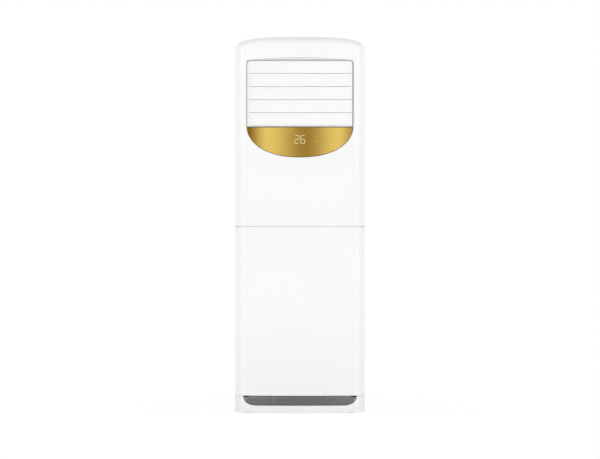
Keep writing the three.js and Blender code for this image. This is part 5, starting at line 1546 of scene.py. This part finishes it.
wheel_front, wheel_back = -20 * MM, 91 * MM
wheel_inner = 132 * MM
disc_skin = 3 * MM
disc_front = wheel_back - disc_skin
hub_radius, hub_front = 20 * MM, 57 * MM
wheel_bore = 7.3 * MM
dish_inner, dish_outer = 54 * MM, 116 * MM
dish_front, dish_back = 72 * MM, 75 * MM
disc_profile = [
    (wheel_bore, hub_front),
    (hub_radius, hub_front),
    (hub_radius, dish_front),
    (dish_inner, dish_front),
    (dish_outer, disc_front),
    (wheel_radius, disc_front),
    (wheel_radius, wheel_back),
    (dish_outer, wheel_back),
    (dish_inner, dish_back),
    (wheel_bore, dish_back),
]
disc = lathe("disc", disc_profile, 144)
soften(disc, 0.6 * MM, 2)
ring_inner, ring_depth = 150 * MM, 6 * MM
wheel_ring = hoop("ring", ring_inner, wheel_radius, wheel_front, wheel_front + ring_depth, 144)
soften(wheel_ring, 1.2 * MM, 3)
blade_count = 36
blade_lead = math.radians(11)
blade_skin = 0.8 * MM
blade_steps = 8
outer_edge, inner_edge = [], []
for i in range(blade_steps + 1):
    share = i / blade_steps
    radius = wheel_inner + (wheel_radius - disc_skin - wheel_inner) * share
    turn = -blade_lead * share**2
    c, s = math.cos(turn), math.sin(turn)
    outer_edge.append((fan_x + radius * c + blade_skin * s, fan_z + radius * s - blade_skin * c))
    inner_edge.append((fan_x + radius * c - blade_skin * s, fan_z + radius * s + blade_skin * c))
blade_front, blade_back = wheel_front + 1.5 * MM, wheel_back - 1.5 * MM
fan_blade = prism("fan_blade", outer_edge + inner_edge[::-1], "y", blade_front, blade_back)
soften(fan_blade, 0.35 * MM, 2, angle=50, shade=50)
wheel = [disc, wheel_ring]
for i in range(blade_count):
    twin = copied(fan_blade, "fan_blade", (-fan_x, 0, -fan_z))
    wheel.append(round_axis(twin, (i + 0.5) / blade_count))
bpy.data.objects.remove(fan_blade)
hub_ribs = 6
rib_half, rib_end = 1.5 * MM, 50 * MM
for i in range(hub_ribs):
    rib_low = (hub_radius - MM, dish_front - 7 * MM, -rib_half)
    rib = block("rib", rib_low, (rib_end, dish_front + MM, rib_half))
    wheel.append(round_axis(soften(rib, 0.5 * MM, 2), i / hub_ribs))
wheel = join_all(wheel, "blower_wheel_made")
mount(wheel, black_plastic, "blower_wheel", body="blower")

shaft_low, shaft_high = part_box("motor_shaft")
bright_steel = surface("bright_steel", (0.62, 0.63, 0.64), 0.22, 1.0, grain=900, bump=0.02)
shaft_radius, flat_height, flat_length = 7 * MM, 5.6 * MM, 5 * MM
past_shaft = 10 * MM
shaft = rod("motor_shaft_made", "y", shaft_radius, shaft_low[1], shaft_high[1], fan_x, fan_z, 48)
flat_low = (fan_x + flat_height, shaft_low[1] - MM, fan_z - past_shaft)
flat_high = (fan_x + past_shaft, shaft_low[1] + flat_length, fan_z + past_shaft)
combine(shaft, block("flat", flat_low, flat_high))
soften(shaft, 0.6 * MM, 2)
mount(shaft, bright_steel, "motor_shaft", body="blower")


# ------------------------------------------------------------------ fan motor and its bracket
# A flat motor with pressed steel end bells and a ring of cooling slots, held behind the scroll on a
# three-armed steel bracket. Its lead, in a black sleeve, comes from the electrical box.

motor_front, bell_back, motor_back = 106.6 * MM, 152.6 * MM, 156.6 * MM
motor_radius, bearing_radius = 65 * MM, 22 * MM
motor_profile = [
    (wheel_bore, motor_front),
    (motor_radius - 8 * MM, motor_front),
    (motor_radius, motor_front + 8 * MM),
    (motor_radius, bell_back - 10 * MM),
    (motor_radius - 12 * MM, bell_back),
    (bearing_radius, bell_back),
    (bearing_radius, motor_back),
    (wheel_bore, motor_back),
]
motor = lathe("fan_motor_made", motor_profile, 96)
soften(motor, 1.6 * MM, 3, angle=25)
vent_count, vent_half = 24, 1.6 * MM
vent_inner, vent_outer = 34 * MM, 49 * MM
vents = []
for i in range(vent_count):
    vent_low = (vent_inner, bell_back - 3 * MM, -vent_half)
    vent = block("vent", vent_low, (vent_outer, bell_back + 1.4 * MM, vent_half))
    vents.append(round_axis(vent, i / vent_count))
combine(motor, join_all(vents, "vents"))
seam_front, seam_back = 127.8 * MM, 129.2 * MM
seam = hoop("seam", motor_radius - MM, motor_radius + MM, seam_front, seam_back, 96)
combine(motor, seam)
shade_smooth(motor, 35)
mount(motor, galvanised, "fan_motor")
fit("motor_bracket", 0.4 * MM, 2, galvanised)

lead_places = [
    (176 * MM, -85 * MM, 659.4 * MM),
    (176 * MM, -85 * MM, 652 * MM),
    (194 * MM, -45.3 * MM, 644 * MM),
    (205 * MM, -0.3 * MM, 624 * MM),
    (206 * MM, 69.7 * MM, 580 * MM),
    (180 * MM, 131 * MM, 500 * MM),
    (100.3 * MM, 131 * MM, 452 * MM),
    (67.3 * MM, 131 * MM, 430 * MM),
    (55.3 * MM, 131 * MM, 430 * MM),
]
lead = tube("motor_lead_made", smooth_route(lead_places, 10), 3 * MM)
mount(lead, black_plastic, "motor_lead")


# ------------------------------------------------------------------ electrical box
# A folded steel tray hangs under the deck, closed by a lid with cooling slots. The terminals for
# the installer's wires are under it, in a black moulded block with brass screws.

fit("electrical_box", 0.35 * MM, 2, galvanised)
fit("electrical_lid", 0.35 * MM, 2, galvanised)
lid_low, lid_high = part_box("electrical_lid")
lid_margin = 9 * MM
screws_z = lid_high[2] - lid_margin
screws_x = (lid_low[0] + lid_margin, 0, lid_high[0] - lid_margin)
places = [(x, lid_low[1], screws_z) for x in screws_x]
screws("lid_screws", places, (0, -1, 0), 3 * MM)

fit("terminal_block", 0.4 * MM, 2, black_plastic)
brass = surface("brass", (0.62, 0.45, 0.17), 0.32, 1.0, grain=900, bump=0.03, slot="bright_steel")
block_x, block_y, block_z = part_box("terminal_block")[0]
first_terminal, terminal_pitch = 10.5 * MM, 15 * MM
places = []
for i in range(5):
    x = block_x + first_terminal + terminal_pitch * i
    places.append((x, block_y + 14 * MM, block_z + 13 * MM))
screws("terminal_screws", places, (0, -1, 0), 3.2 * MM, brass)


# ------------------------------------------------------------------ control board
# The main circuit board stands on posts inside the electrical box, with a transformer, a motor
# capacitor, relays and plugs on it.

tray_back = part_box("electrical_box")[1][1]
board_back = tray_back - 12 * MM
board_front = board_back - 1.6 * MM
board_low, board_high = (-160 * MM, board_front, 690 * MM), (150 * MM, board_back, 830 * MM)
board = block("control_board", board_low, board_high)
mount(soften(board, 0.3 * MM, 1), circuit_board)
post_radius, post_end = 3 * MM, tray_back - 1.5 * MM
posts = []
for x in (-150 * MM, 140 * MM):
    for z in (700 * MM, 820 * MM):
        posts.append(rod("post", "y", post_radius, board_back - MM, post_end, x, z, 20))
mount(join_all(posts, "board_posts"), screw_steel, slot="bright_steel")

# Left, right, foot and top of each part in millimetres, and how far it stands out of the board.
part_boxes = (
    (-140, -90, 705, 750, 34),
    (-140, -122, 770, 800, 14),
    (-114, -96, 770, 800, 14),
    (-30, 20, 780, 792, 9),
    (40, 52, 705, 745, 10),
    (66, 78, 705, 745, 10),
    (92, 130, 800, 812, 9),
)
solder_y = board_front + 0.3 * MM
parts = []
for left, right, foot, top, rise in part_boxes:
    low = (left * MM, board_front - rise * MM, foot * MM)
    part = block("part", low, (right * MM, solder_y, top * MM))
    parts.append(soften(part, 0.8 * MM, 2))
mount(join_all(parts, "board_parts"), black_plastic)
# Middle, height, radius and how far it stands out, of each capacitor in millimetres.
cans = []
for x, z, radius, rise in ((-55, 720, 17, 40), (-10, 715, 8, 20), (12, 735, 8, 20), (105, 730, 6, 14)):
    can_top = board_front - rise * MM
    can = rod("can", "y", radius * MM, can_top, solder_y, x * MM, z * MM, 40)
    cans.append(soften(can, 1.2 * MM, 3))
capacitor_silver = surface(
    "capacitor_silver", (0.62, 0.63, 0.65), 0.35, 1.0, grain=700, bump=0.04, slot="bright_steel"
)
mount(join_all(cans, "board_capacitors"), capacitor_silver)
